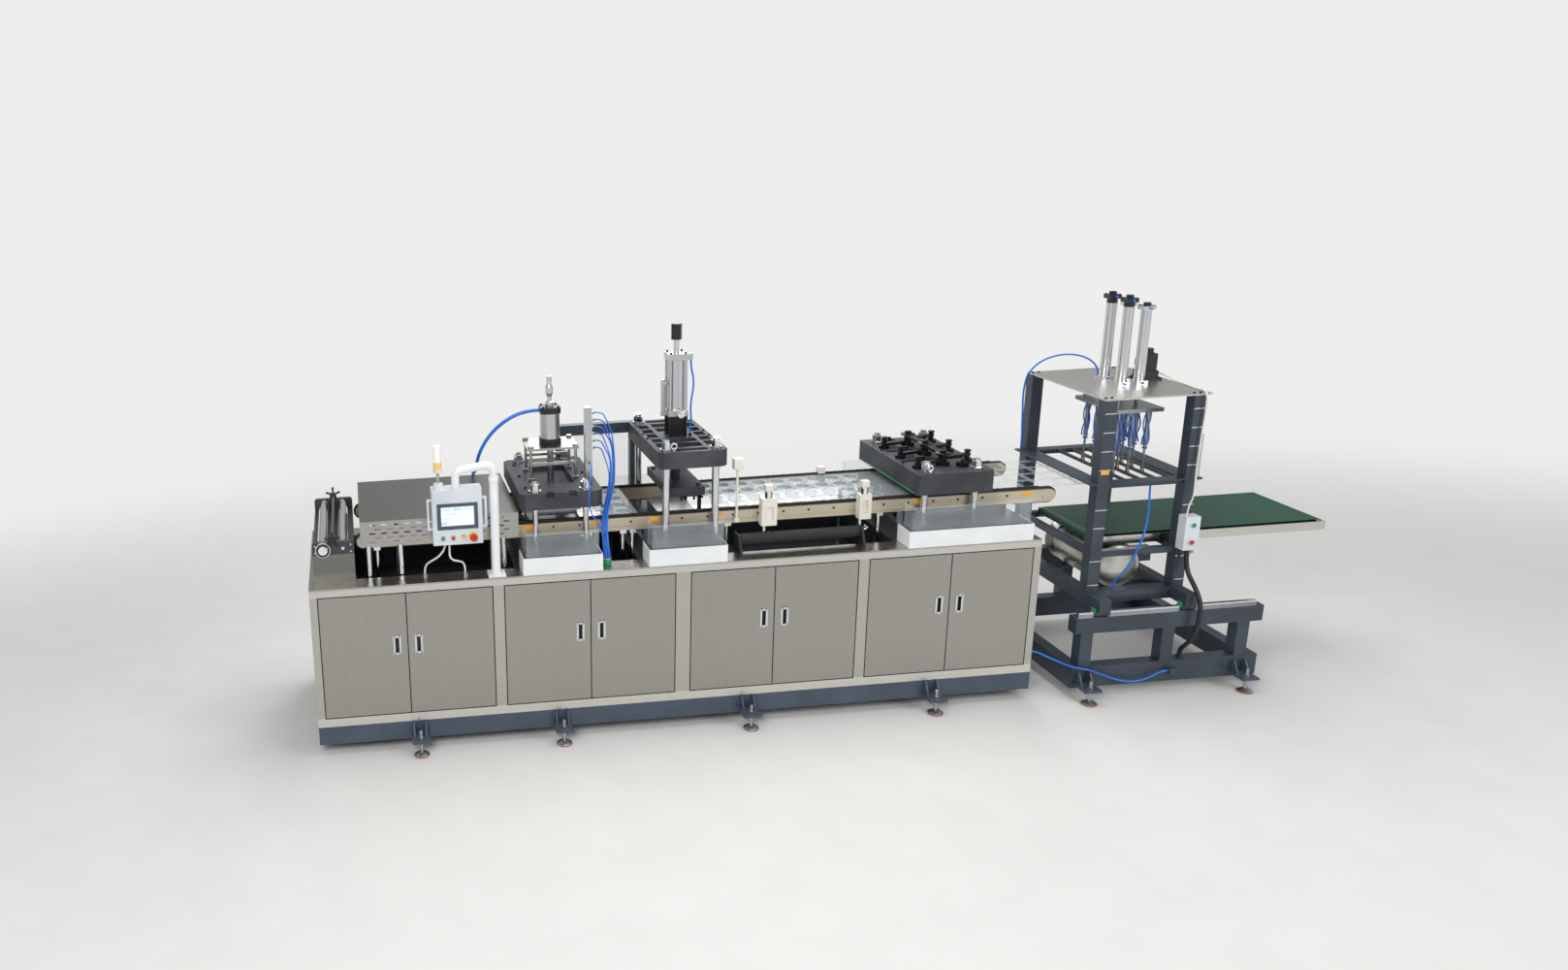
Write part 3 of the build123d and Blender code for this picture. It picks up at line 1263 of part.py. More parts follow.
with BuildPart() as stacker_hoses:
    hose_along("plate hose", plate_route, drop_hose_radius)
    hose_along("drop hose", drop_route, drop_hose_radius)
    hose_along("motor cable", motor_route, 5)
save(stacker_hoses.part, "stacker_hoses")
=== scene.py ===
# %% [markdown]
# # Thermoforming machine
# The real machine heats a web of plastic film, forms cups in it, punches and cuts them out and stacks them.
# The CAD model already gives every plate, press and frame its exact place. Blender adds what CAD leaves out: the
# finish of each metal and plastic, the hoses, and small parts such as screws, chain links and fittings.
# Places are written in millimetres from the left end of the cabinets, because that is what a fitter would measure,
# and one function turns them into Blender's metres.

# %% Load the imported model
from math import cos, pi, radians, sin

import bmesh
import bpy
from mathutils import Matrix, Vector


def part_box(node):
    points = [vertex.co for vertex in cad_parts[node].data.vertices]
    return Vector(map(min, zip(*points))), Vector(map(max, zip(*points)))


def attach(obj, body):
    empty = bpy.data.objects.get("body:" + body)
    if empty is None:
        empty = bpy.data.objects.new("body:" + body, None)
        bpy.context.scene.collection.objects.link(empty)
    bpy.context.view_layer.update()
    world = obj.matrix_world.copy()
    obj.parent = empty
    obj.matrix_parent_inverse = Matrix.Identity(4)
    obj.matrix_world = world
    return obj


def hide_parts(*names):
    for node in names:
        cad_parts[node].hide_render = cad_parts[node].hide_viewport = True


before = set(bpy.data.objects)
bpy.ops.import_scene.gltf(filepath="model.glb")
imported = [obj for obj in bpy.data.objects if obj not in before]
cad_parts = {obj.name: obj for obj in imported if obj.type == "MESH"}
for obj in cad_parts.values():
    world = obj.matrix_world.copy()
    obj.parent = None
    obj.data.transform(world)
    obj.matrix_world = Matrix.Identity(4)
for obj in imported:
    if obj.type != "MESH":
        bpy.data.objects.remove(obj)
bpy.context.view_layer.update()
scene = bpy.context.scene
left_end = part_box("counter_top")[0].x


def at(x, y, z):
    """Point in metres from millimetres: x from the left end of the cabinets, y to the back, z up."""
    return Vector((left_end + x / 1000, y / 1000, z / 1000))


# %% [markdown]
# ## Camera
# The photograph was taken from a little above head height. Its lens and angles could be tried by eye. They were
# worked out from edges that are straight on the machine instead, so that every piece lands on its own place in the
# picture and nothing has to be nudged to suit the view.

# %% Camera from the fitted lens and angles
photo_width, photo_height = 1617, 1000
focal_pixels = 1222.5
aim_x, aim_y = 459, 458  # the pixel that the lens looks straight at
pan, tilt, roll = -0.075196, -0.265476, 0.042674  # radians
camera_data = bpy.data.cameras.new("viewpoint")
camera_data.sensor_width = 36
camera_data.lens = focal_pixels / photo_width * 36
camera_data.shift_x = (photo_width / 2 - aim_x) / photo_width
camera_data.shift_y = (aim_y - photo_height / 2) / photo_width
camera_data.clip_end = 60
turn = Matrix.Rotation(pan, 3, "Z") @ Matrix.Rotation(tilt, 3, "X") @ Matrix.Rotation(roll, 3, "Y")
basis = Matrix((turn.col[0], turn.col[2], -turn.col[1])).transposed()
camera = bpy.data.objects.new("viewpoint", camera_data)
camera.matrix_world = Matrix.Translation((-2.9313, -7.0899, 3.7067)) @ basis.to_4x4()
scene.collection.objects.link(camera)
scene.camera = camera
print("lens", round(camera_data.lens, 2), "mm")

# %% [markdown]
# ## Nodes and colours
# A material is a small network of nodes. It could be drawn in the shader editor, but written down it can be read and
# repeated. One function adds a node with its settings and its links. The other turns the hex colour of a colour
# picker into the linear light that Blender calculates with.

# %% One function that adds a node, and one that turns a hex colour into light
def linear(colour):
    """Linear colour from an sRGB hex value such as B8B5AF."""
    parts = [int(colour[i:i + 2], 16) / 255 for i in (0, 2, 4)]
    return tuple(v / 12.92 if v <= 0.04045 else ((v + 0.055) / 1.055) ** 2.4 for v in parts) + (1.0,)


def add(tree, kind, inputs=None, into=None, **settings):
    """Add a node with its properties and inputs, link its first output into a socket, and give its outputs."""
    made = tree.nodes.new("ShaderNode" + kind)
    for name, value in settings.items():
        if name == "stops":
            for number, (position, colour) in enumerate(value):
                if number >= len(made.color_ramp.elements):
                    made.color_ramp.elements.new(1.0)
                made.color_ramp.elements[number].position = position
                made.color_ramp.elements[number].color = linear(colour)
        elif name == "steps":
            made.color_ramp.interpolation = "CONSTANT"
        else:
            setattr(made, name, value)
    for name, value in (inputs or {}).items():
        if isinstance(value, bpy.types.NodeSocket):
            tree.links.new(value, made.inputs[name])
        else:
            made.inputs[name].default_value = value
    if into is not None:
        tree.links.new(made.outputs[0], into)
    return made.outputs


print("white is", linear("FFFFFF")[:3])

# %% [markdown]
# ## Light
# Polished columns and brushed sheet only look like metal when there is something to reflect. A picture of a studio
# could be wrapped round the scene, but a pale gradient that darkens towards the floor is easier to adjust. Large soft
# lamps over the front and the left do most of the work.

# %% World
scene.view_settings.view_transform = "Standard"
backdrop_colour = linear("EEEEEC")
world = bpy.data.worlds.new("studio")
scene.world = world
world.use_nodes = True
tree = world.node_tree
tree.nodes.clear()
direction = add(tree, "TexCoord")["Generated"]
height = add(tree, "SeparateXYZ", {0: direction})["Z"]
level = add(tree, "MapRange", {"Value": height, "From Min": -0.35, "From Max": 0.9})[0]
sky = add(tree, "ValToRGB", {0: level}, stops=[
    (0.0, "6E6C6A"), (0.28, "B9B9BA"), (0.5, "E4E5E7"), (1.0, "C9CCD0")])
plain = add(tree, "Background", {"Color": backdrop_colour, "Strength": 1.0})
studio = add(tree, "Background", {"Color": sky[0], "Strength": 0.62})
seen = add(tree, "LightPath")["Is Camera Ray"]
both = add(tree, "MixShader", {0: seen, 1: studio[0], 2: plain[0]})
add(tree, "OutputWorld", {"Surface": both[0]})
print("world", world.name)

# %% Lamps: place, aim and size in metres, power in watts
lamps = (
    ("key", (-4.6, -6.4, 5.6), (-0.8, 0, 1.1), 3.2, 330),
    ("fill", (5.2, -5.8, 4.2), (1.2, 0, 1.0), 3.5, 190),
    ("top", (-0.3, 0.6, 6.0), (-0.3, 0, 1.0), 4.5, 210),
    ("rear", (1.0, 6.0, 4.4), (0, 0, 1.2), 4.0, 130))
for name, place, aim, size, power in lamps:
    lamp_data = bpy.data.lights.new(name, "AREA")
    lamp_data.size = size
    lamp_data.energy = power
    lamp = bpy.data.objects.new(name, lamp_data)
    lamp.location = place
    lamp.rotation_euler = (Vector(aim) - Vector(place)).to_track_quat("-Z", "Y").to_euler()
    scene.collection.objects.link(lamp)
print("lamps", len(lamps))

# %% [markdown]
# ## Floor
# A curved studio wall could close the view, but it would throw shadows of its own. Here one large sheet of screed
# fades into the backdrop's colour a few metres out, and only for what the camera, gloss or glass sees, so the floor
# still catches the machine's shadow and lights it from below.

# %% Floor sheet
floor_mesh = bmesh.new()
bmesh.ops.create_grid(floor_mesh, x_segments=1, y_segments=1, size=20)
floor_data = bpy.data.meshes.new("studio_floor")
floor_mesh.to_mesh(floor_data)
floor_mesh.free()
floor = bpy.data.objects.new("studio_floor", floor_data)
floor.location.z = -0.001
scene.collection.objects.link(floor)
print("floor", floor.name)

# %% The start of every finish, and the floor's own
def start(name, colour, metallic=0.0, roughness=0.5):
    """New material with its shader and the object coordinates that its patterns read."""
    finish = bpy.data.materials.new(name)
    finish.use_nodes = True
    tree = finish.node_tree
    shader = tree.nodes["Principled BSDF"]
    shader.inputs["Base Color"].default_value = linear(colour)
    shader.inputs["Metallic"].default_value = metallic
    shader.inputs["Roughness"].default_value = roughness
    return finish, tree, shader, add(tree, "TexCoord")["Object"]


# Trowelled screed: almost even, with faint clouds a third of a metre wide.
fade_begins, fade_ends = 2.2, 6.5  # metres from the middle of the machine
floor_finish, tree, shader, place = start("matt floor screed", "DCDBD8", roughness=0.6)
speckle = add(tree, "TexNoise", {"Vector": place, "Scale": 3.0, "Detail": 3.0})
add(tree, "ValToRGB", {0: speckle[0]}, stops=[(0.3, "D9D8D5"), (0.7, "DDDCD9")], into=shader.inputs["Base Color"])
squeezed = add(tree, "Mapping", {"Vector": place, "Scale": (0.55, 1.0, 1.0)})
away = add(tree, "VectorMath", {0: squeezed[0]}, operation="LENGTH")["Value"]
far = add(tree, "MapRange", {"Value": away, "From Min": fade_begins, "From Max": fade_ends},
          interpolation_type="SMOOTHSTEP")
rays = add(tree, "LightPath")
mirrored = add(tree, "Math", {0: rays["Is Camera Ray"], 1: rays["Is Glossy Ray"]}, operation="ADD")
passed = add(tree, "Math", {0: mirrored[0], 1: rays["Is Transmission Ray"]}, operation="MAXIMUM")
share = add(tree, "Math", {0: far[0], 1: passed[0]}, operation="MULTIPLY")
backdrop = add(tree, "Emission", {"Color": backdrop_colour, "Strength": 1.0})
add(tree, "MixShader", {0: share[0], 1: shader.outputs[0], 2: backdrop[0]},
    into=tree.nodes["Material Output"].inputs["Surface"])
floor_data.materials.append(floor_finish)
print("floor finish", floor_finish.name)

# %% [markdown]
# ## Metals
# A belt sander leaves long lines on sheet steel, and a lathe leaves rings on a barrel. Photographed textures could
# show them, but a noise that is stretched along one axis does it at any size. The patterns read Object coordinates,
# which are metres here, so 330 means a line every 3 mm. Real lines are a tenth of a millimetre wide and would vanish
# at this distance, so they are drawn as coarse as they need to show.

# %% Brushed metal
relief_depth = 0.0006


def brushed(name, dark, light, lines, rough, relief=0.05):
    """Metal with fine lines. The three numbers in lines are how often the pattern changes in each metre."""
    finish, tree, shader, place = start(name, light, metallic=1.0)
    stretched = add(tree, "Mapping", {"Vector": place, "Scale": lines})
    streaks = add(tree, "TexNoise", {"Vector": stretched[0], "Scale": 1.0, "Detail": 4.0})
    clouds = add(tree, "TexNoise", {"Vector": place, "Scale": 3.0, "Detail": 2.0})
    mixed = add(tree, "Math", {0: clouds[0], 1: 0.25, 2: streaks[0]}, operation="MULTIPLY_ADD")
    add(tree, "ValToRGB", {0: mixed[0]}, stops=[(0.42, dark), (0.84, light)], into=shader.inputs["Base Color"])
    add(tree, "MapRange", {"Value": mixed[0], "From Min": 0.4, "From Max": 0.86, "To Min": rough[0],
                           "To Max": rough[1]}, into=shader.inputs["Roughness"])
    add(tree, "Bump", {"Height": streaks[0], "Strength": relief, "Distance": relief_depth},
        into=shader.inputs["Normal"])
    return finish


print("relief depth", relief_depth * 1000, "mm at full strength")

# %% The metals of this machine
# Satin sheet: lines along the machine draw each highlight out upright.
stainless = brushed("stainless steel, brushed along the line", "A9A7A1", "B8B6B0", (5, 330, 330), (0.22, 0.32), 0.02)
# The doors were brushed upright. Their darker colour is painted shade, for how they catch the light unlike the frame.
door_stainless_painted_darker = brushed("stainless steel, brushed upright, painted darker", "A09E98", "A6A49E", (330, 330, 5), (0.27, 0.34), 0.01)
# Folded trim is polished and mirrors the floor softly.
bright = brushed("stainless steel, polished trim", "C3C0B9", "D3D0CA", (8, 260, 260), (0.14, 0.24), 0.02)
# Plate as it left the mill: even, and duller than trim.
plate_stainless = brushed("stainless steel, rolled plate", "C6C3BC", "D6D3CC", (90, 90, 90), (0.3, 0.42), 0.02)
# Ground and chromed columns: a sharp mirror with dark and white bands.
polished = brushed("hard chrome, ground", "CDCED0", "E6E7E8", (260, 260, 14), (0.05, 0.16), 0.01)
# Anodised barrels: soft silver without a sharp reflection.
aluminium = brushed("aluminium, anodised and turned", "BBBDBF", "CDCFD1", (300, 300, 30), (0.26, 0.38), 0.02)
# Milled tool plate shows the cutter's passes.
tooling = brushed("aluminium, milled", "96989B", "ABADB0", (60, 420, 60), (0.25, 0.4), 0.03)
# The chain rails are anodised a warm sand colour.
champagne = brushed("aluminium, champagne anodised", "C4B8A4", "D0C5B2", (6, 300, 300), (0.34, 0.44), 0.02)
# Oiled chain: nearly black, with a wet glint.
chain_steel = brushed("carbon steel, oiled", "2E2D2C", "4A4845", (240, 120, 120), (0.3, 0.5), 0.03)
# Brass of the suction tips, warm where it is worn.
brass = brushed("brass, nickel tinted", "8E7440", "C4A15B", (240, 240, 60), (0.2, 0.32))
print("metals", len([m for m in bpy.data.materials if "steel" in m.name or "alumin" in m.name]))

# %% [markdown]
# ## Paints and castings
# Powder coat is baked dust that flows into a soft ripple a few millimetres across. A casting keeps the grain of the
# sand. Both are two close tones in clouds with a fine noise as relief, so one function makes them. It also rounds the
# shading at every edge, which gives the glint of real, slightly blunt corners.

# %% Coats of paint
def coated(name, dark, light, rough, ripple, relief, metallic=0.0):
    """Coat of paint or bare casting. ripple is how many bumps there are in each metre."""
    finish, tree, shader, place = start(name, light, metallic=metallic, roughness=rough)
    clouds = add(tree, "TexNoise", {"Vector": place, "Scale": 6.0, "Detail": 5.0})
    add(tree, "ValToRGB", {0: clouds[0]}, stops=[(0.3, dark), (0.68, light)], into=shader.inputs["Base Color"])
    peel = add(tree, "TexNoise", {"Vector": place, "Scale": ripple, "Detail": 3.0})
    worn = add(tree, "Bevel", {"Radius": 0.0018}, samples=4)
    add(tree, "Bump", {"Height": peel[0], "Strength": relief, "Distance": 0.0012, "Normal": worn[0]},
        into=shader.inputs["Normal"])
    return finish


# Blue-grey frames: a ripple every 4 mm breaks up the highlight.
slate = coated("powder coat, slate", "3C4654", "465162", 0.42, 260, 0.12)
deep_slate = coated("powder coat, deep slate", "2B343E", "36414D", 0.38, 260, 0.12)
# Black coat swallows the shadows in the wells.
black = coated("powder coat, black", "15171A", "202327", 0.5, 240, 0.12)
# White and grey coats are smooth, as on any appliance.
white = coated("powder coat, white", "DCDFE1", "E8EAEB", 0.36, 220, 0.03)
panel_grey = coated("powder coat, light grey", "C2C8CE", "D2D7DC", 0.38, 220, 0.08)
cream = coated("enamel, warm white", "D3CFC4", "E4E0D6", 0.34, 180, 0.05)
# Primed cast iron: sand grain of 2 to 3 mm, dull with a faint metal sheen.
casting = coated("cast iron, dark primer", "34363B", "484A50", 0.55, 420, 0.3, 0.35)
# Black oxide is a thin skin, so the steel under it still shines a little.
black_oxide = coated("steel, black oxide", "141416", "26262A", 0.36, 300, 0.18, 0.7)
print("coats", slate.name, casting.name)

# %% [markdown]
# ## Rubber and plastics
# Moulded plastics have an even colour and a broad gloss, and rubber hardly shines. Each could have its own network,
# but the one for a coat of paint is near enough with the right roughness.

# %% Rubber, plastics and labels
# A feed roller's rubber is matt and ground.
rubber = coated("rubber, black", "111112", "1C1C1E", 0.62, 500, 0.15)
black_plastic = coated("nylon, black", "17181A", "222427", 0.4, 500, 0.1)
# Extruded air tube: strong blue with a long thin highlight.
blue_plastic = coated("polyurethane, blue", "1A5FBE", "2A78DC", 0.28, 90, 0.05)
white_plastic = coated("cable jacket, white", "CFCFCA", "E2E2DE", 0.42, 320, 0.06)
black_jacket = coated("cable jacket, black", "131416", "1E2023", 0.45, 360, 0.1)
# Small moulded parts: glossy enough to show as a bright dot.
green_plastic = coated("nylon, green", "1E7A4B", "27975E", 0.34, 300, 0.05)
red_plastic = coated("nylon, red", "A3161A", "C4201F", 0.3, 200, 0.04)
yellow_plastic = coated("nylon, yellow", "D9A800", "EBC11C", 0.35, 200, 0.04)
orange_tag = coated("vinyl, amber", "EE9A1E", "F7AC30", 0.45, 200, 0.04)
print("plastics", rubber.name, blue_plastic.name)

# %% [markdown]
# ## Belt
# The belt is a woven carrier with a green cover pressed onto it, so the weave shows through as faint cross ribs. The
# ribs could be geometry, but they are a tenth of a millimetre high. A wave gives them, one every 4.5 mm, and a noise
# adds the grain of the cover.

# %% Belt cover
belt_finish, tree, shader, place = start("belt cover, green", "17402F", roughness=0.5)
weave = add(tree, "TexWave", {"Vector": place, "Scale": 70.0, "Distortion": 0.6}, bands_direction="X")
grain = add(tree, "TexNoise", {"Vector": place, "Scale": 160.0, "Detail": 3.0})
mixed = add(tree, "Math", {0: weave[1], 1: grain[0]}, operation="ADD")
add(tree, "ValToRGB", {0: mixed[0]}, stops=[(0.3, "143A2B"), (1.0, "1B4C3A")], into=shader.inputs["Base Color"])
add(tree, "Bump", {"Height": mixed[0], "Strength": 0.25, "Distance": relief_depth}, into=shader.inputs["Normal"])
print("belt", belt_finish.name)

# %% [markdown]
# ## Clear sheet
# Film, cups and guards are clear plastic. Real refraction through a sheet a millimetre thick only costs time, so the
# sheet is mostly see-through instead, with a faint uneven haze that tells the eye where it is.

# %% Clear plastics
def clear(name, colour, alpha, rough):
    """Clear sheet whose haze lies between the two shares in alpha."""
    finish, tree, shader, place = start(name, colour, roughness=rough)
    haze = add(tree, "TexNoise", {"Vector": place, "Scale": 7.0, "Detail": 2.0})
    add(tree, "MapRange", {"Value": haze[0], "To Min": alpha[0], "To Max": alpha[1]}, into=shader.inputs["Alpha"])
    return finish


# Cast acrylic is the clearest. The film is greyer, and a cup shows most, at its thick rim.
acrylic = clear("acrylic, clear", "DCE7EA", (0.08, 0.16), 0.05)
film_finish = clear("thermoforming film, clear", "C2CCD0", (0.14, 0.3), 0.08)
cup_finish = clear("thermoformed cup, clear", "DCE4E8", (0.3, 0.5), 0.08)
print("clear", acrylic.name, film_finish.name)

# %% [markdown]
# ## One node, several finishes
# Some CAD nodes are one node on paper but several parts on the real machine, such as a cylinder with black caps on
# an aluminium barrel. Its faces could be given separate materials, but the caps sit at known heights, so a colour
# ramp with hard steps along an axis does it without touching the mesh. A second ramp says how metallic each band is.

# %% Finish in bands
def stepped(name, axis, low, high, marks, rough=0.34):
    """Finish in bands along an axis, in metres. Each mark is where a band begins, its colour, and its metal share
    as a grey, from 000000 for paint to FFFFFF for bare metal."""
    finish, tree, shader, place = start(name, marks[0][1], roughness=rough)
    along = add(tree, "SeparateXYZ", {0: place})[axis]
    level = add(tree, "MapRange", {"Value": along, "From Min": low, "From Max": high})[0]
    spots = [((mark - low) / (high - low), colour, metal) for mark, colour, metal in marks]
    for column, socket in ((1, "Base Color"), (2, "Metallic")):
        bands = [(spot[0], spot[column]) for spot in spots]
        add(tree, "ValToRGB", {0: level}, steps=True, stops=bands, into=shader.inputs[socket])
    fine = add(tree, "TexNoise", {"Vector": place, "Scale": 240.0, "Detail": 3.0})
    add(tree, "Bump", {"Height": fine[0], "Strength": 0.06, "Distance": 0.0008}, into=shader.inputs["Normal"])
    return finish


forming_cylinder_finish = stepped("cylinder, black caps and aluminium", "Z", 1.70, 2.20, [
    (1.70, "1B1C1F", "202020"), (1.778, "C6C8CA", "FFFFFF"), (1.938, "1B1C1F", "202020"),
    (1.979, "D2D3D5", "FFFFFF")])
punch_cylinder_finish = stepped("cylinder, black base and aluminium", "Z", 1.70, 2.50, [
    (1.70, "1B1C1F", "202020"), (1.874, "C9CBCD", "FFFFFF"), (2.271, "D8D9DB", "FFFFFF"),
    (2.352, "18191B", "202020")])
lift_cylinder_finish = stepped("lift cylinders, black caps", "Z", 1.90, 2.50, [
    (1.90, "D3D4D6", "FFFFFF"), (2.412, "1B1C1F", "202020")], 0.24)
foot_finish = stepped("zinc plate over a rubber ring", "Z", 0.0, 0.2, [
    (0.0, "B8492A", "000000"), (0.006, "B4B5B6", "FFFFFF")], 0.36)
print("cylinders and feet in bands")

# %% Bands of the panel, the boxes, the cabinet frame and the infeed
screen_x, screen_z = 897, 1482
screen_middle = left_end + screen_x / 1000
door_low, door_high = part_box("door_1")
beacon_finish = stepped("signal beacon, white and amber", "Z", 1.63, 1.91, [
    (1.63, "D9DCDF", "000000"), (1.672, "B5B7B9", "FFFFFF"), (1.741, "D9DCDF", "000000"),
    (1.752, "F0C27A", "000000"), (1.80, "F3F0E8", "000000")], 0.22)
button_finish = stepped("push buttons", "X", screen_middle - 0.12, screen_middle + 0.12, [
    (screen_middle - 0.12, "1F8A4C", "000000"), (screen_middle - 0.06, "C4201F", "000000"),
    (screen_middle, "E4B51A", "000000"), (screen_middle + 0.06, "B3181B", "000000")], 0.28)
regulator_finish = stepped("filter regulator, bowl and knob", "Z", 0.8, 1.7, [
    (0.80, "C9CBCD", "FFFFFF"), (0.862, "8FA0A8", "000000"), (0.958, "D5D8DA", "303030"),
    (1.033, "1A1B1E", "000000"), (1.10, "DDDDDB", "303030"), (1.372, "C9CBCD", "FFFFFF")], 0.3)
# The control box is one grey, painted a little darker on its lower half: painted shade.
box_with_painted_shade = stepped("control box, lower half in painted shade", "Z", 0.9, 1.2, [
    (0.90, "C9CED3", "000000"), (0.99, "D2D7DC", "000000")], 0.4)
# One stainless frame, painted lighter below and above the doors than beside them: painted highlights.
frame_with_painted_highlights = stepped("stainless steel, frame with painted highlights", "Z", 0.1, 1.1, [
    (0.1, "D6D3CC", "FFFFFF"), (door_low.z - 0.004, "B9B6AF", "FFFFFF"),
    (door_high.z + 0.004, "CDCAC4", "FFFFFF")], 0.26)
infeed_finish = stepped("dark casting on a stainless pedestal", "Z", 1.0, 1.5, [
    (1.0, "7C7A76", "FFFFFF"), (1.258, "38383C", "404040")], 0.32)
print("finishes so far", len(bpy.data.materials))

# %% [markdown]
# ## The oven cover
# The cover is perforated all over with short staggered slot holes. The CAD has the rows along both sides. The fine
# ones on top could be cut too, but there are over a thousand. They lie flat on the sheet, and a brick pattern is just
# what
# they look like: a dark slot of 23 by 5 mm in every 30 by 12.5 mm, each row shifted by half, with steel between. The
# slot's near-black is painted shade for the dark inside of the oven that a real hole shows.

# %% Oven finish
oven_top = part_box("oven_cover")[1].z
oven_finish, tree, shader, place = start("stainless steel, perforated", "B9B5AE", metallic=1.0, roughness=0.32)
# The holes are drawn as colour: their near-black is painted shade, the dark inside of the oven seen through them.
slots_in_painted_shade = add(tree, "TexBrick", {
    "Vector": place, "Color1": linear("121314"), "Color2": linear("17181A"), "Mortar": linear("A09E9A"),
    "Scale": 1.0, "Brick Width": 0.030, "Row Height": 0.0125, "Mortar Size": 0.0037, "Mortar Smooth": 0.1})
height = add(tree, "SeparateXYZ", {0: place})["Z"]
on_top = add(tree, "Math", {0: height, 1: oven_top - 0.0008}, operation="GREATER_THAN")
stretched = add(tree, "Mapping", {"Vector": place, "Scale": (5, 300, 300)})
streaks = add(tree, "TexNoise", {"Vector": stretched[0], "Scale": 1.0})
sheet = add(tree, "ValToRGB", {0: streaks[0]}, stops=[(0.3, "A6A49F"), (0.7, "B6B4AF")])
add(tree, "MixRGB", {0: on_top[0], 1: sheet[0], 2: slots_in_painted_shade[0]}, into=shader.inputs["Base Color"])
add(tree, "Bump", {"Height": streaks[0], "Strength": 0.05, "Distance": relief_depth}, into=shader.inputs["Normal"])
print("oven top at", round(oven_top, 3))

# %% [markdown]
# ## The CAD model's own pieces
# The plates, frames and presses already have their shape, so each only needs its finish. A table from node to finish
# is the plainest way, because it reads like the parts list of the machine.

# %% Give every CAD node its finish
parts_list = (
    (slate, "base_frame foot_brackets"), (foot_finish, "levelling_feet"), (frame_with_painted_highlights, "front_frame"),
    (stainless, "cabinet_shell counter_top cylinder_stand"), (black, "well_liners lift_motor"),
    (door_stainless_painted_darker, "door_1 door_2 door_3 door_4 door_5 door_6 door_7 door_8"), (champagne, "chain_rails"),
    (chain_steel, "feed_chains"), (polished, "support_posts infeed_rollers press_columns guide_rails"),
    (infeed_finish, "infeed_bracket"), (oven_finish, "oven_cover"), (white, "panel_post panel_arm station_skirts"),
    (panel_grey, "panel_box"), (button_finish, "panel_buttons"), (beacon_finish, "panel_beacon"),
    (casting, "press_beds forming_head punch_head punch_platen cutting_head"), (black_oxide, "toggle_links"),
    (acrylic, "guard_panels"), (forming_cylinder_finish, "forming_cylinder"), (aluminium, "air_manifold"),
    (punch_cylinder_finish, "punch_cylinder"), (tooling, "forming_plug lower_tools pick_head"),
    (rubber, "feed_roller"), (cream, "web_clamps"), (film_finish, "film_web"),
    (deep_slate, "rear_beam stacker_base stacker_frame"), (plate_stainless, "stacker_top air_tank"),
    (lift_cylinder_finish, "lift_cylinders"), (bright, "conveyor_frame"), (belt_finish, "conveyor_belt"),
    (box_with_painted_shade, "control_box"), (regulator_finish, "air_regulator"), (white_plastic, "power_cables"),
    (blue_plastic, "air_hoses stacker_hoses"),
)
finishes = {node: finish for finish, nodes in parts_list for node in nodes.split()}
for node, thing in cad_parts.items():
    thing.data.materials.clear()
    thing.data.materials.append(finishes[node])
print("finished nodes", len(finishes))

# %% [markdown]
# ## Hoses and cables
# A hose is a fixed length of something flexible, so it never bends sharply. It could be a mesh swept round a path.
# A NURBS curve is simpler: it takes the points of the CAD tube's route as its control points, stays smooth between
# them, and its own thickness is the hose.

# %% Lay one hose
def lay(name, diameter, kind, route):
    """Hose along a route in millimetres. kind is its finish, its body, the CAD node it stands for and its slot, which
    is not used.
    """
    finish, body, node, slot_name = kind
    curve = bpy.data.curves.new(name, "CURVE")
    curve.dimensions = "3D"
    curve.resolution_u = 8
    curve.bevel_depth = diameter / 2
    curve.bevel_resolution = 3
    curve.use_fill_caps = True
    spline = curve.splines.new("NURBS")
    spline.points.add(len(route) - 1)
    for point, spot in zip(spline.points, route):
        point.co = (*at(*spot), 1)
    spline.order_u = 3
    spline.use_endpoint_u = True
    hose = bpy.data.objects.new(name, curve)
    scene.collection.objects.link(hose)
    curve.materials.append(finish)
    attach(hose, body)
    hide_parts(node)


air_tube = (blue_plastic, "machine", "air_hoses", "blue_tube")
white_cable = (white_plastic, "machine", "power_cables", "cable_jacket")
black_cable = (black_jacket, "machine", "power_cables", "cable_jacket")
stacker_tube = (blue_plastic, "stacker_carriage", "stacker_hoses", "blue_tube")
stacker_cable = (white_plastic, "stacker_carriage", "stacker_hoses", "cable_jacket")

# %% The hose that arches from the forming cylinder down behind the oven
counter = 1079
gland_top = counter + 12
socket_top = counter + 42
lay("arch_hose", 0.022, air_tube, [
    (1479, 0, 1956), (1390, 0, 1956), (1270, 10, 1905), (1165, 30, 1810), (1100, 60, 1690), (1085, 120, 1590),
    (1086, 210, 1520), (1090, 330, 1488), (1094, 430, 1482), (1100, 480, 1420), (1106, 490, 1310),
    (1100, 475, 1200), (1100, 475, gland_top)])

# %% The bundle of tubes from the manifold to its socket in the counter
ports = [1736 + 44 * number for number in range(6)]
bundle_line = [(1876, -168, 1850), (1887, -178, 1762), (1891, -192, 1674), (1889, -210, 1586), (1877, -232, 1500),
               (1848, -270, 1416), (1816, -328, 1346), (1802, -384, 1274), (1799, -424, 1205)]
ring = [(-16, 0), (-8, 13.92), (-8, -13.92), (8, 13.92), (8, -13.92), (16, 0)]
for number, (own, (dx, dy)) in enumerate(zip(ports, ring)):
    route = [(1794, -150, own), (1829 + 3 * number, -150, own), (1848 + 3 * number, -154, own - 44)]
    route += [(x + dx, y + dy, z) for x, y, z in bundle_line if z < own - 95]
    route += [(1805 + dx, -440 + dy, socket_top + 32), (1805 + dx, -440 + dy, socket_top)]
    lay(f"bundle_tube_{number + 1}", 0.008, air_tube, route)
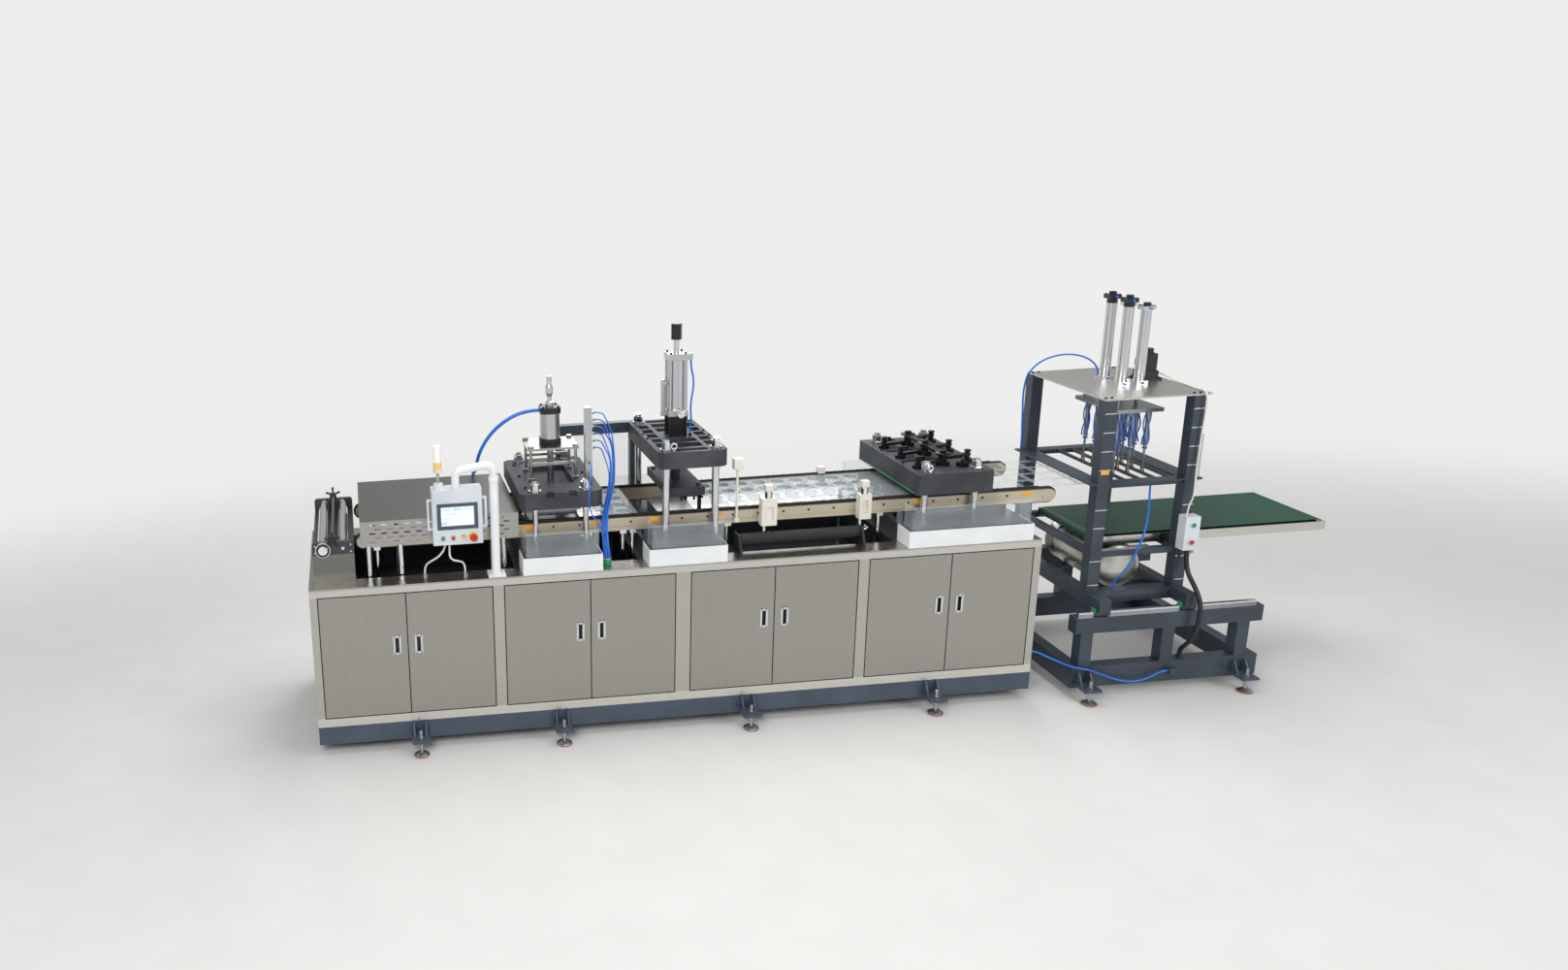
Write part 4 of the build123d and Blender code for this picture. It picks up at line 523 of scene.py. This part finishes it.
lay("front_tube", 0.008, air_tube, [
    (1752, -194, 1650), (1752, -236, 1650), (1742, -300, 1640), (1722, -372, 1612), (1702, -424, 1556),
    (1694, -446, 1480), (1706, -456, 1410), (1738, -462, 1366), (1770, -462, 1310), (1790, -458, 1240),
    (1805, -440, 1176), (1805, -440, socket_top)])

# %% The punching cylinder's hose and the one that runs low to the stacking station
lay("punch_hose", 0.012, air_tube, [
    (2424, -40, 2229), (2424, -40, 2180), (2442, -40, 2112), (2442, -40, 2046), (2430, -40, 1982),
    (2425, -40, 1915), (2430, -40, 1850), (2424, -40, 1800), (2424, -40, 1759)])
lay("base_hose", 0.012, air_tube, [
    (4512, -480, 300), (4556, -480, 300), (4640, -532, 262), (4740, -592, 224), (4850, -612, 204),
    (4950, -614, 160), (5060, -612, 112), (5170, -611, 96), (5270, -606, 120), (5336, -600, 152),
    (5385, -600, 152)])

# %% The panel's leads and the control box's cable
lay("panel_lead_left", 0.012, white_cable, [
    (822, -482, 1305), (822, -482, 1276), (797, -478, 1230), (761, -466, 1198), (723, -440, 1170),
    (697, -420, 1136), (697, -420, gland_top)])
lay("panel_lead_right", 0.012, white_cable, [
    (847, -482, 1305), (847, -482, 1258), (845, -480, 1214), (863, -474, 1186), (892, -466, 1176),
    (924, -453, 1162), (938, -448, 1134), (938, -448, gland_top)])
lay("control_box_cable", 0.028, black_cable, [
    (5508, -469, 920), (5508, -469, 850), (5510, -500, 764), (5514, -566, 704), (5520, -622, 634),
    (5524, -634, 540), (5520, -630, 440), (5508, -612, 360), (5496, -570, 300), (5492, -540, 262),
    (5492, -540, 222)])

# %% The stacker's hoses, which ride with its carriage
lay("plate_hose", 0.012, stacker_tube, [
    (5208, 150, 1922), (5208, 150, 1972), (5158, 176, 2034), (5080, 226, 2060), (4994, 292, 2044),
    (4920, 350, 1992), (4868, 384, 1910), (4856, 394, 1820), (4856, 396, 1730), (4862, 396, 1640),
    (4866, 396, 1550), (4872, 394, 1460), (4872, 394, 1371)])
lay("drop_hose", 0.012, stacker_tube, [
    (5266, -396, 1335), (5266, -396, 1290), (5260, -412, 1230), (5248, -434, 1140), (5224, -450, 1030),
    (5188, -454, 920), (5148, -448, 820), (5110, -430, 750), (5092, -396, 700), (5092, -396, 651)])
lay("motor_cable", 0.010, stacker_cable, [
    (5512, 40, 1946), (5544, 40, 1946), (5564, 16, 1938), (5569, -28, 1928), (5566, -120, 1921),
    (5560, -240, 1920), (5546, -345, 1922), (5532, -412, 1932), (5524, -452, 1912), (5522, -456, 1860),
    (5524, -455, 1780), (5520, -453, 1700), (5518, -452, 1600), (5516, -452, 1500), (5513, -456, 1410),
    (5502, -474, 1340), (5496, -482, 1260), (5476, -472, 1196), (5476, -472, 1140)])

# %% [markdown]
# ## Small parts
# Screws, links and fittings are simple shapes that repeat many times. Each could be an object of its own, but one
# mesh for all pieces of a kind keeps the scene light. bmesh works in metres, so the helpers take millimetres and put
# the scaled shape in its place.

# %% Helpers for boxes and bars
ways = {"Z": Matrix.Identity(4), "X": Matrix.Rotation(pi / 2, 4, "Y"), "Y": Matrix.Rotation(-pi / 2, 4, "X"),
        "-Y": Matrix.Rotation(pi / 2, 4, "X")}


def block(mesh, centre, size, bevel=0.0):
    """Box with its middle at centre and, if asked, rounded edges. All in millimetres."""
    matrix = Matrix.LocRotScale(at(*centre), None, Vector(size) / 1000)
    made = bmesh.ops.create_cube(mesh, size=1.0, matrix=matrix)
    if bevel:
        edges = list(dict.fromkeys(edge for vert in made["verts"] for edge in vert.link_edges))
        bmesh.ops.bevel(mesh, geom=edges, offset=bevel / 1000, segments=2, profile=0.5, affect="EDGES", material=-1)


def rod(mesh, centre, radius, length, axis="Z", sides=20, end=None):
    """Round bar along an axis with its middle at centre. end is its other end's radius, for a taper."""
    tip = radius if end is None else end
    bmesh.ops.create_cone(mesh, cap_ends=True, segments=sides, radius1=radius / 1000, radius2=tip / 1000,
                          depth=length / 1000, matrix=Matrix.Translation(at(*centre)) @ ways[axis])


print("ways a bar can point", list(ways))

# %% [markdown]
# ## From mesh to piece
# A finished piece is an object with a name, a finish and a body that it rides on. Each could be set by hand, but one
# is easily forgotten, so one function does it all. It also shades round faces smooth and keeps the steeper edges
# sharp.

# %% One function that finishes a piece, and one for equal boxes
sharp_angle = 35


def finish_piece(name, mesh, finish, body, bevel=0.0):
    """Turn the mesh into a piece that rides on a body, smooth where it is round."""
    bmesh.ops.recalc_face_normals(mesh, faces=mesh.faces)
    data = bpy.data.meshes.new(name)
    mesh.to_mesh(data)
    mesh.free()
    data.shade_smooth()
    data.set_sharp_from_angle(angle=radians(sharp_angle))
    thing = bpy.data.objects.new(name, data)
    scene.collection.objects.link(thing)
    data.materials.append(finish)
    if bevel:
        edge = thing.modifiers.new("edge", "BEVEL")
        edge.width = bevel / 1000
        edge.segments = 2
        edge.limit_method = "ANGLE"
    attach(thing, body)
    print(name, len(data.polygons), "faces")
    return thing


def blocks(name, finish, body, size, places, bevel=0.5):
    """Piece of equal boxes, one at each place."""
    mesh = bmesh.new()
    for place in places:
        block(mesh, place, size, bevel)
    finish_piece(name, mesh, finish, body)


print("edges are sharp from", sharp_angle, "degrees")

# %% [markdown]
# ## Door pulls
# Each door has a flush pull: a chrome frame round a dark cup that fingers reach into. The recess is in the CAD door,
# so all that is needed is a thin dark tray in it and a frame of four rounded bars round it. Odd doors have the pull
# on their right, even doors on their left.

# %% Door pulls
door_width, pull_inset, pull_z = 515, 62, 694.5
tray_y, frame_y = -526.5, -541.6
for number in range(1, 9):
    door = f"door_{number}"
    low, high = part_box(door)
    middle_x = ((low.x + high.x) / 2 - left_end) * 1000
    side = 1 if number % 2 else -1
    pull_x = middle_x + side * (door_width / 2 - pull_inset)
    blocks(f"pull_cup_{number}", black, door, (38, 1.6, 110), [(pull_x, tray_y, pull_z)], 0.6)
    rim = bmesh.new()
    for side_x in (-17.5, 17.5):
        block(rim, (pull_x + side_x, frame_y, pull_z), (13, 4.6, 122), 1.4)
    for side_z in (-54, 54):
        block(rim, (pull_x, frame_y, pull_z + side_z), (36, 4.6, 14), 1.4)
    finish_piece(f"pull_frame_{number}", rim, polished, door)

# %% [markdown]
# ## Chain links
# Two roller chains carry the film by its edges, and their plates show along the top of the rails. A link could be
# modelled in full, but there are over three hundred. So a link is two thin plates and a six-sided pin, and every other
# one is set wider, as inner and outer links are.

# %% Chain links on both rails
pitch, link_count, chain_y = 25.4, 168, 290
for side, name in ((-1, "front"), (1, "back")):
    links = bmesh.new()
    for number in range(link_count):
        x = 345 + number * pitch
        shift = 1.2 if number % 2 else -1.2
        for row in (-6.4, 6.4):
            block(links, (x, side * chain_y + row + shift, 1335.4), (pitch - 4, 2.4, 6.4))
        rod(links, (x + pitch / 2, side * chain_y, 1335.0), 2.6, 14, "Y", 6)
    finish_piece(f"chain_links_{name}", links, chain_steel, "machine")

# %% [markdown]
# ## Rail screws
# The rails are held by socket-head screws, one every 160 mm. A picture of a screw would look flat from the side, so
# each is a short drum with a hollow sunk in its face by an inset. The front rail also has tags, which the screws
# leave room for.

# %% Rail screws
def screw(mesh, place, facing="Z", radius=6.0, height=5.0):
    """Socket-head screw on a surface: a short drum with a hollow in its face. facing is Z, Y or -Y."""
    before = set(mesh.verts)
    made = bmesh.ops.create_cone(mesh, cap_ends=True, segments=12, radius1=radius / 1000, radius2=radius / 1000,
                                 depth=height / 1000)
    face = max({f for v in made["verts"] for f in v.link_faces}, key=lambda f: f.calc_center_median().z)
    bmesh.ops.inset_region(mesh, faces=[face], thickness=0.45 * radius / 1000, depth=-0.5 * height / 1000)
    lift = Matrix.Translation((0, 0, height / 2000))
    bmesh.ops.transform(mesh, matrix=Matrix.Translation(at(*place)) @ ways[facing] @ lift,
                        verts=[v for v in mesh.verts if v not in before])


tag_places = (1347, 1760, 2128, 2523, 3805, 4507)
rail_face, rail_middle = 315, 1296
screws = bmesh.new()
for x in range(380, 4650, 160):
    if min(abs(x - place) for place in tag_places) > 45:
        screw(screws, (x, -rail_face, rail_middle), "-Y", 6.5, 5)
    screw(screws, (x, rail_face, rail_middle), "Y", 6.5, 5)
finish_piece("rail_screws", screws, black_oxide, "machine")

# %% [markdown]
# ## Infeed grips
# The clamp rollers are opened with a shaft that has a star-shaped grip at each end. The star is a hub with five
# tapered spokes, made once and turned round the shaft, because that is how the grip's own drawing is made.

# %% Infeed grips
shaft_x, shaft_z, spokes = 158, 1354, 5
grips = bmesh.new()
for side in (-1, 1):
    rod(grips, (shaft_x, side * 448, shaft_z), 15, 18, "Y", 18)
    for step in range(spokes):
        turn_by = Matrix.Rotation(2 * pi * step / spokes, 4, "Y")
        spoke = bmesh.ops.create_cone(grips, cap_ends=True, segments=10, radius1=0.0055, radius2=0.0085, depth=0.036)
        place = Matrix.Translation(at(shaft_x, side * 452, shaft_z)) @ turn_by @ Matrix.Translation((0, 0, 0.03))
        bmesh.ops.transform(grips, matrix=place, verts=spoke["verts"])
finish_piece("shaft_grips", grips, black_plastic, "machine", 0.8)

# %% [markdown]
# ## Infeed dial
# A dial with a small crank sets the front roller. Its rim is round all over, so it is turned like the real one on a
# lathe: half of its outline is drawn as a row of points and spun about the axis. Twelve plain ticks mark the face.

# %% A round piece from its outline, and the dial
def turned(mesh, profile, centre, axis="Z", steps=32):
    """Round piece from a profile of (radius, height) points turned about an axis through centre."""
    verts = [mesh.verts.new((r / 1000, 0, h / 1000)) for r, h in profile]
    edges = [mesh.edges.new(pair) for pair in zip(verts, verts[1:])]
    before = set(mesh.verts) - set(verts)
    bmesh.ops.spin(mesh, geom=verts + edges, cent=(0, 0, 0), axis=(0, 0, 1), angle=2 * pi, steps=steps,
                   use_merge=True)
    made = [v for v in mesh.verts if v not in before]
    bmesh.ops.remove_doubles(mesh, verts=made, dist=1e-6)
    made = [v for v in mesh.verts if v not in before]
    bmesh.ops.transform(mesh, matrix=Matrix.Translation(at(*centre)) @ ways[axis], verts=made)


def turnings(name, finish, body, profile, places, axis="Z", steps=32):
    """Piece of equal turned shapes, one at each place."""
    mesh = bmesh.new()
    for place in places:
        turned(mesh, profile, place, axis, steps)
    return finish_piece(name, mesh, finish, body)


dial_x, dial_z, ticks = 99, 1300, 12
turnings("dial_rim", black_plastic, "machine",
         [(0, 0), (38, 0), (40, 2), (40, 5), (36, 6), (30, 4), (0, 4)], [(dial_x, -474, dial_z)], "-Y", 40)
face = bmesh.new()
rod(face, (dial_x, -479, dial_z), 27, 2.5, "Y", 40)
for step in range(ticks):
    turn_by = Matrix.Rotation(2 * pi * step / ticks, 4, "Y")
    tick = bmesh.ops.create_cube(face, size=1.0, matrix=Matrix.Diagonal((0.0014, 0.0012, 0.006, 1)))
    place = Matrix.Translation(at(dial_x, -480.6, dial_z)) @ turn_by @ Matrix.Translation((0, 0, 0.022))
    bmesh.ops.transform(face, matrix=place, verts=tick["verts"])
finish_piece("dial_face", face, white_plastic, "machine")
crank = bmesh.new()
rod(crank, (122, -489, 1318), 6, 24, "Y", 14, 8)
rod(crank, (dial_x, -482, dial_z), 8, 6, "Y", 16)
finish_piece("dial_crank", crank, polished, "machine", 0.6)

# %% Infeed bolts
bolts = bmesh.new()
for y, facing in ((-440, "-Y"), (440, "Y")):
    for x in (52, 264):
        for z in (1276, 1318):
            screw(bolts, (x, y, z), facing, 7, 6)
finish_piece("infeed_bolts", bolts, polished, "machine")

# %% [markdown]
# ## Lifting eyes
# Every press head carries an eye that a crane's hook goes through. A torus could be added ready-made, but spinning a
# small circle about an axis shows what a torus is, and lets the ring stand on its collar in one go.

# %% Lifting eyes
eyes = bmesh.new()
for x, y, z in ((1400, -330, 1533), (2230, -372, 1743), (3830, -390, 1505)):
    rod(eyes, (x, y, z + 5), 14, 10, "Z", 20)
    verts = bmesh.ops.create_circle(eyes, segments=12, radius=0.005)["verts"]
    edges = list(dict.fromkeys(edge for vert in verts for edge in vert.link_edges))
    upright = Matrix.Rotation(pi / 2, 4, "X")
    bmesh.ops.transform(eyes, matrix=Matrix.Translation((0.017, 0, 0)) @ upright, verts=verts)
    kept = set(eyes.verts) - set(verts)
    bmesh.ops.spin(eyes, geom=verts + edges, cent=(0, 0, 0), axis=(0, 0, 1), angle=2 * pi, steps=24, use_merge=True)
    torus = [v for v in eyes.verts if v not in kept]
    bmesh.ops.remove_doubles(eyes, verts=torus, dist=1e-6)
    torus = [v for v in eyes.verts if v not in kept]
    bmesh.ops.transform(eyes, matrix=Matrix.Translation(at(x, y, z + 29)) @ upright, verts=torus)
finish_piece("lifting_eyes", eyes, polished, "machine")

# %% [markdown]
# ## Tags and cap screws
# Blank amber tags are stuck on the front rail, and large screws hold each cylinder's cap and each press head. Paint
# on the rail would do for a tag seen from afar, but a sheet 1.8 mm thick also catches the light on its edge.

# %% Tags on the front rail, screws on the presses
forming_x, punching_x, cutting_x = 1542, 2343, 3984
blocks("blank_tags", orange_tag, "machine", (58, 1.8, 26), [(x, -316, 1300) for x in tag_places])

caps = bmesh.new()
for dx in (-46, 46):
    for dy in (-46, 46):
        screw(caps, (forming_x + dx, dy, 1978), "Z", 7, 6)
        screw(caps, (punching_x + dx, dy, 2269), "Z", 8, 8)
for x, top, half_x, rows, height in ((forming_x, 1533, 200, (-250, 0, 250), 7), (punching_x, 1743, 196, (-60, 60), 6),
                                     (cutting_x, 1505, 215, (-150, 150), 7)):
    for dx in (-half_x, half_x):
        for y in rows:
            screw(caps, (x + dx, y, top), "Z", 8 if x == punching_x else 9, height)
finish_piece("cap_screws", caps, black_oxide, "machine")

# %% [markdown]
# ## Pressure gauge
# The gauge on the punching cylinder is a pale face in a chrome ring with a red pointer. The ring is turned with a
# raised lip, because the lip's highlight is what makes it read as a gauge at this size.

# %% Gauge
gauge_x, gauge_z = 2355, 1893
turnings("gauge_rim", polished, "machine",
         [(0, 0), (24, 0), (27, 1.5), (27, 5), (24, 6), (22, 3), (0, 3)], [(gauge_x, -82, gauge_z)], "-Y", 36)
face = bmesh.new()
rod(face, (gauge_x, -86, gauge_z), 21, 1.2, "Y", 32)
finish_piece("gauge_face", face, white_plastic, "machine")
pointer = bmesh.new()
block(pointer, (gauge_x - 6, -87.4, gauge_z + 6), (16, 1, 2))
block(pointer, (gauge_x, -87.4, gauge_z), (5, 1.4, 5), 0.5)
finish_piece("gauge_pointer", pointer, red_plastic, "machine")

# %% [markdown]
# ## Discs of the cutting head
# The toggle links turn on pins under round caps: a large disc with a dome on it over each middle pin, and a smaller
# dome over each outer one. Cylinders would do, but a lathe rounds every edge, so all are turned from a few points. A
# green strip closes the gap under the head's left edge.

# %% Hub caps and the green strip
hubs = bmesh.new()
for row in (-238, 0, 238):
    turned(hubs, [(0, 0), (44, 0), (47, 2), (47, 7), (44, 9), (0, 9)], (cutting_x, row, 1575), "Z", 36)
    turned(hubs, [(14, 0), (21, 3), (23, 9), (20, 14), (9, 17), (0, 17)], (cutting_x, row, 1587), "Z", 28)
    for side in (-1, 1):
        place = (cutting_x + side * 178, row + side * 36, 1571)
        turned(hubs, [(14, 0), (20, 2), (22, 7), (19, 11), (8, 13), (0, 13)], place, "Z", 28)
finish_piece("hub_caps", hubs, black_oxide, "machine")
head_low, head_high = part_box("cutting_head")
strip_place = ((head_low.x - left_end) * 1000 - 1.5, 0, head_low.z * 1000 + 7)
strip_size = (3, (head_high.y - head_low.y) * 1000 - 60, 8)
blocks("head_strip", green_plastic, "machine", strip_size, [strip_place], 0.8)

# %% [markdown]
# ## Push-in fittings
# Each blue tube is pushed into a fitting, and a green collar round it is what a fitter presses to let it go. The
# collars sit where the tubes leave the manifold, so they are placed from the tubes' own heights.

# %% Collars and the sleeve of the socket
collars = bmesh.new()
for own in ports:
    turned(collars, [(4.4, 0), (8.5, 0), (9.5, 2), (9.5, 5), (7, 8), (4.4, 8)], (1786, -150, own), "X", 20)
turned(collars, [(4.4, 0), (9, 0), (10, 2), (10, 6), (7, 9), (4.4, 9)], (1752, -186, 1650), "-Y", 20)
finish_piece("push_in_collars", collars, green_plastic, "machine")
turnings("socket_sleeve", green_plastic, "machine",
         [(22, 0), (26, 1), (26, 22), (24, 26), (24, 34), (22, 36)], [(1805, -440, counter)])

# %% [markdown]
# ## Formed cups
# Between the presses the web already carries formed cups. The web could be one mesh with bowls drawn down in it, but
# the CAD web has its holes, so each cup is a shallow bowl with a rolled rim, turned from a profile and hung in one.

# %% Cups in the web
step_x, step_y = 124, 130
columns_x = [1899 + step_x * (n - 0.5) for n in range(2)] + [3085 + step_x * (n - 4) for n in range(9)]
bowl = [(50, 2.4), (47, 3.0), (44, 1.0), (40, -16), (34, -27), (30, -29), (0, -29)]
turnings("formed_cups", cup_finish, "machine", bowl,
         [(x, step_y * (row - 1.5), 1326) for x in columns_x for row in range(4)], "Z", 20)

# %% [markdown]
# ## Web clamps
# Two small pneumatic clamps hold the front edge of the web. Each is a cream body with a pair of black prongs on top
# and a bright lever below. The body is in the CAD model, and its front face says how far out the small parts sit.

# %% Prongs and levers of the web clamps
clamp_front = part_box("web_clamps")[0].y * 1000
prongs = bmesh.new()
levers = bmesh.new()
for x, top in ((2832, 1400), (3440, 1385)):
    for side in (-15, 15):
        block(prongs, (x + side, clamp_front + 28, top + 16), (8, 26, 34), 1)
        rod(prongs, (x + side, clamp_front + 28, top + 38), 6, 12, "Z", 12)
    block(levers, (x - 30, clamp_front + 14, 1194), (16, 18, 72), 2)
    block(levers, (x - 14, clamp_front + 14, 1164), (58, 24, 14), 2)
    rod(levers, (x - 36, clamp_front + 4, 1176), 9, 30, "Y", 18)
    rod(levers, (x + 12, clamp_front + 8, 1176), 5, 44, "Y", 14)
finish_piece("clamp_prongs", prongs, black_plastic, "machine", 0.6)
finish_piece("clamp_levers", levers, polished, "machine", 0.6)

# %% [markdown]
# ## Operator panel
# A pale screen sits behind a slate bezel, and shows a few plain blocks such as any machine page has. A brick pattern
# draws them, turned to face forward and centred on the screen, and the same colours glow a little. The bezel is four
# rounded bars, so that light runs round its inner edge too.

# %% Screen and bezel
glass_finish, tree, shader, place = start("display, lit page", "C9D8DC", roughness=0.16)
centred = add(tree, "Mapping", {"Vector": place, "Location": (-screen_middle, 0, -screen_z / 1000)})
facing_front = add(tree, "Mapping", {"Vector": centred[0], "Rotation": (radians(90), 0, 0)})
page = add(tree, "TexBrick", {
    "Vector": facing_front[0], "Color1": linear("DCE6E8"), "Color2": linear("A9C3CF"),
    "Mortar": linear("EEF2F2"), "Scale": 1.0, "Brick Width": 0.058, "Row Height": 0.028, "Mortar Size": 0.004},
    into=shader.inputs["Base Color"])
tree.links.new(page[0], shader.inputs["Emission Color"])
shader.inputs["Emission Strength"].default_value = 0.35
blocks("display_glass", glass_finish, "control_panel", (194, 1.6, 114), [(screen_x, -538, screen_z)])
bezel = bmesh.new()
for x, z, width, height in ((screen_x, 1551, 240, 22), (screen_x, 1413, 240, 22), (788, screen_z, 22, 116),
                            (1006, screen_z, 22, 116)):
    block(bezel, (x, -543, z), (width, 3.2, height), 1.2)
finish_piece("display_bezel", bezel, slate, "control_panel")

# %% [markdown]
# ## Buttons and swivel
# Each button has a chrome collar, and the stop button is a red mushroom over a yellow one. Where the arm turns on
# its post, a white collar covers the joint. All of them are round, so they are turned.

# %% Collars, stop button and swivel collar
button_z, stop_x = 1347, 987
turnings("button_collars", polished, "control_panel",
         [(11.5, 0), (16, 0), (17, 2), (16, 5), (11.5, 6)],
         [(screen_x + offset, -537, button_z) for offset in (-90, -30, 30)], "-Y", 28)
turnings("stop_collar", yellow_plastic, "control_panel",
         [(18.5, 0), (27, 0), (28, 1.5), (27, 3), (18.5, 3)], [(stop_x, -537, button_z)], "-Y", 36)
turnings("stop_cap", red_plastic, "control_panel",
         [(10, 0), (20, 3), (22, 8), (19, 12), (8, 14), (0, 14)], [(stop_x, -552, button_z)], "-Y")
turnings("swivel_collar", white, "control_panel",
         [(26, 0), (31, 2), (31, 26), (29, 30), (27, 30)], [(1122, -482, 1662)], "Z", 36)

# %% [markdown]
# ## Stacking station
# The posts carry silver ties round their cables and a tag, the lift cylinders have screws in their caps and a blue
# port each, and green wipers clean the guide rails. They all ride on the carriage, so each is named for its body,
# and every place is worked out from the posts and the middle of the lift.

# %% Ties and tag on the front posts
post_places = (4930, 5500)
tie_heights = (700, 860, 1080, 1200, 1460, 1580, 1700, 1820)
blocks("post_ties", bright, "stacker_carriage", (77, 1.4, 7),
       [(x, -434.8, z) for z in tie_heights for x in post_places], 0.4)
blocks("post_tag", orange_tag, "stacker_carriage", (52, 1.6, 24), [(post_places[0], -435.2, 1444)])

# %% Screws, ports and wipers
lift_x = 5270
lift_cylinders = [(lift_x + dx, dy, top) for dx, top in ((-60, 2468), (60, 2414)) for dy in (-85, 85)]
heads = bmesh.new()
for x, y, top in lift_cylinders:
    for sx in (-28, 28):
        for sy in (-28, 28):
            screw(heads, (x + sx, y + sy, top), "Z", 5, 4)
for x in post_places:
    for y in (-396, 396):
        for sx in (-20, 20):
            screw(heads, (x + sx, y, 1910), "Z", 8, 6)
for x in (5400, 5520):
    for y in (-8, 88):
        screw(heads, (x, y, 1924), "Z", 6, 5)
finish_piece("carriage_screws", heads, black_oxide, "stacker_carriage")
fittings = bmesh.new()
for x, y, top in lift_cylinders:
    for z in (1923, top - 13):
        rod(fittings, (x, y - 44, z), 7, 14, "Y", 14)
finish_piece("cylinder_ports", fittings, blue_plastic, "stacker_carriage", 0.8)
blocks("rail_wipers", green_plastic, "stacker_carriage", (5, 44, 34),
       [(x + end, y, 575) for x in post_places for y in (-540, 540) for end in (-47, 47)], 1)

# %% [markdown]
# ## Pick arms
# Twelve arms hang from the pick head, three along and four across. Each ends in a brass tip for a suction cup and has
# two blue collars. One tip could be copied as an object, but turned into one mesh they all ride with the head at once.

# %% Suction tips and collars of the pick arms
arm_places = [(lift_x + dx, (row - 1.5) * 105) for dx in (-100, 0, 100) for row in range(4)]
turnings("suction_tips", brass, "pick_head",
         [(4, 0), (13, 0), (13.4, 3), (12.4, 12), (9, 18), (9, 34), (7.2, 40)],
         [(x, y, 1346) for x, y in arm_places], "Z", 18)
turnings("arm_collars", blue_plastic, "pick_head", [(13.2, 0), (16, 0), (16, 8), (13.2, 8)],
         [(x, y, z) for x, y in arm_places for z in (1500, 1742)], "Z", 18)

# %% [markdown]
# ## Control box and tank
# The control box has a green and a red button. The air tank is a rolled shell with dished ends welded on. The CAD
# tank has plain ends, so the whole tank is turned again here from one outline, an arc of points at each end, and
# stands for the CAD one. Two straps hold it.

# %% Buttons of the control box
for z, finish, name in ((975, red_plastic, "box_stop"), (1088, green_plastic, "box_start")):
    turnings(name, finish, "stacker_carriage",
             [(8, 0), (14, 1), (15, 5), (13, 8), (0, 9)], [(5500, -510, z)], "-Y", 28)

# %% Tank and its straps
tank_x, tank_z, tank_radius, shell_half, dish = 5183, 760, 150, 272, 58
turnings("tank_straps", bright, "stacker_carriage",
         [(150.2, -14), (152.2, -14), (152.2, 14), (150.2, 14)],
         [(tank_x, y, tank_z) for y in (-180, 180)], "Y", 64)
dished = [(tank_radius * cos(step * pi / 24), shell_half + dish * sin(step * pi / 24)) for step in range(13)]
outline = [(r, -h) for r, h in reversed(dished)] + dished
vessel = turnings("pressure_vessel", plate_stainless, "stacker_carriage", outline,
                  [(tank_x, 0, tank_z)], "Y", 72)
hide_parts("air_tank")

# %% [markdown]
# ## Tubes on the pick arms
# Three thin blue tubes wind down each pick arm to its suction tip. As they are held along the arm and ride with the
# head, they are one mesh: NURBS curves with a round bevel, turned into a mesh at the end. Each arm's tubes start at
# their own angle, so that no two arms look the same.

# %% Arm tubes
tube_points = 8
tubes = bpy.data.curves.new("arm_tubes_line", "CURVE")
tubes.dimensions = "3D"
tubes.resolution_u = 4
tubes.bevel_depth = 0.0045
tubes.bevel_resolution = 2
tubes.use_fill_caps = True
for arm, (arm_x, arm_y) in enumerate(arm_places):
    row = arm % 4
    for begin in (0.3, 2.4, 4.5):
        spline = tubes.splines.new("NURBS")
        spline.points.add(tube_points)
        for number, point in enumerate(spline.points):
            share = number / tube_points
            angle = begin + 3.4 * share + 0.9 * sin((arm_x - lift_x) / 60 + 2 * row)
            reach = 19 + 4 * sin(5 * share + row + begin)
            point.co = (*at(arm_x + reach * cos(angle), arm_y + reach * sin(angle), 1744 - 224 * share), 1)
        spline.order_u = 3
        spline.use_endpoint_u = True
line = bpy.data.objects.new("arm_tubes_line", tubes)
scene.collection.objects.link(line)
tube_data = bpy.data.meshes.new_from_object(line.evaluated_get(bpy.context.evaluated_depsgraph_get()))
bpy.data.objects.remove(line)
tube_mesh = bmesh.new()
tube_mesh.from_mesh(tube_data)
finish_piece("arm_tubes", tube_mesh, blue_plastic, "pick_head")
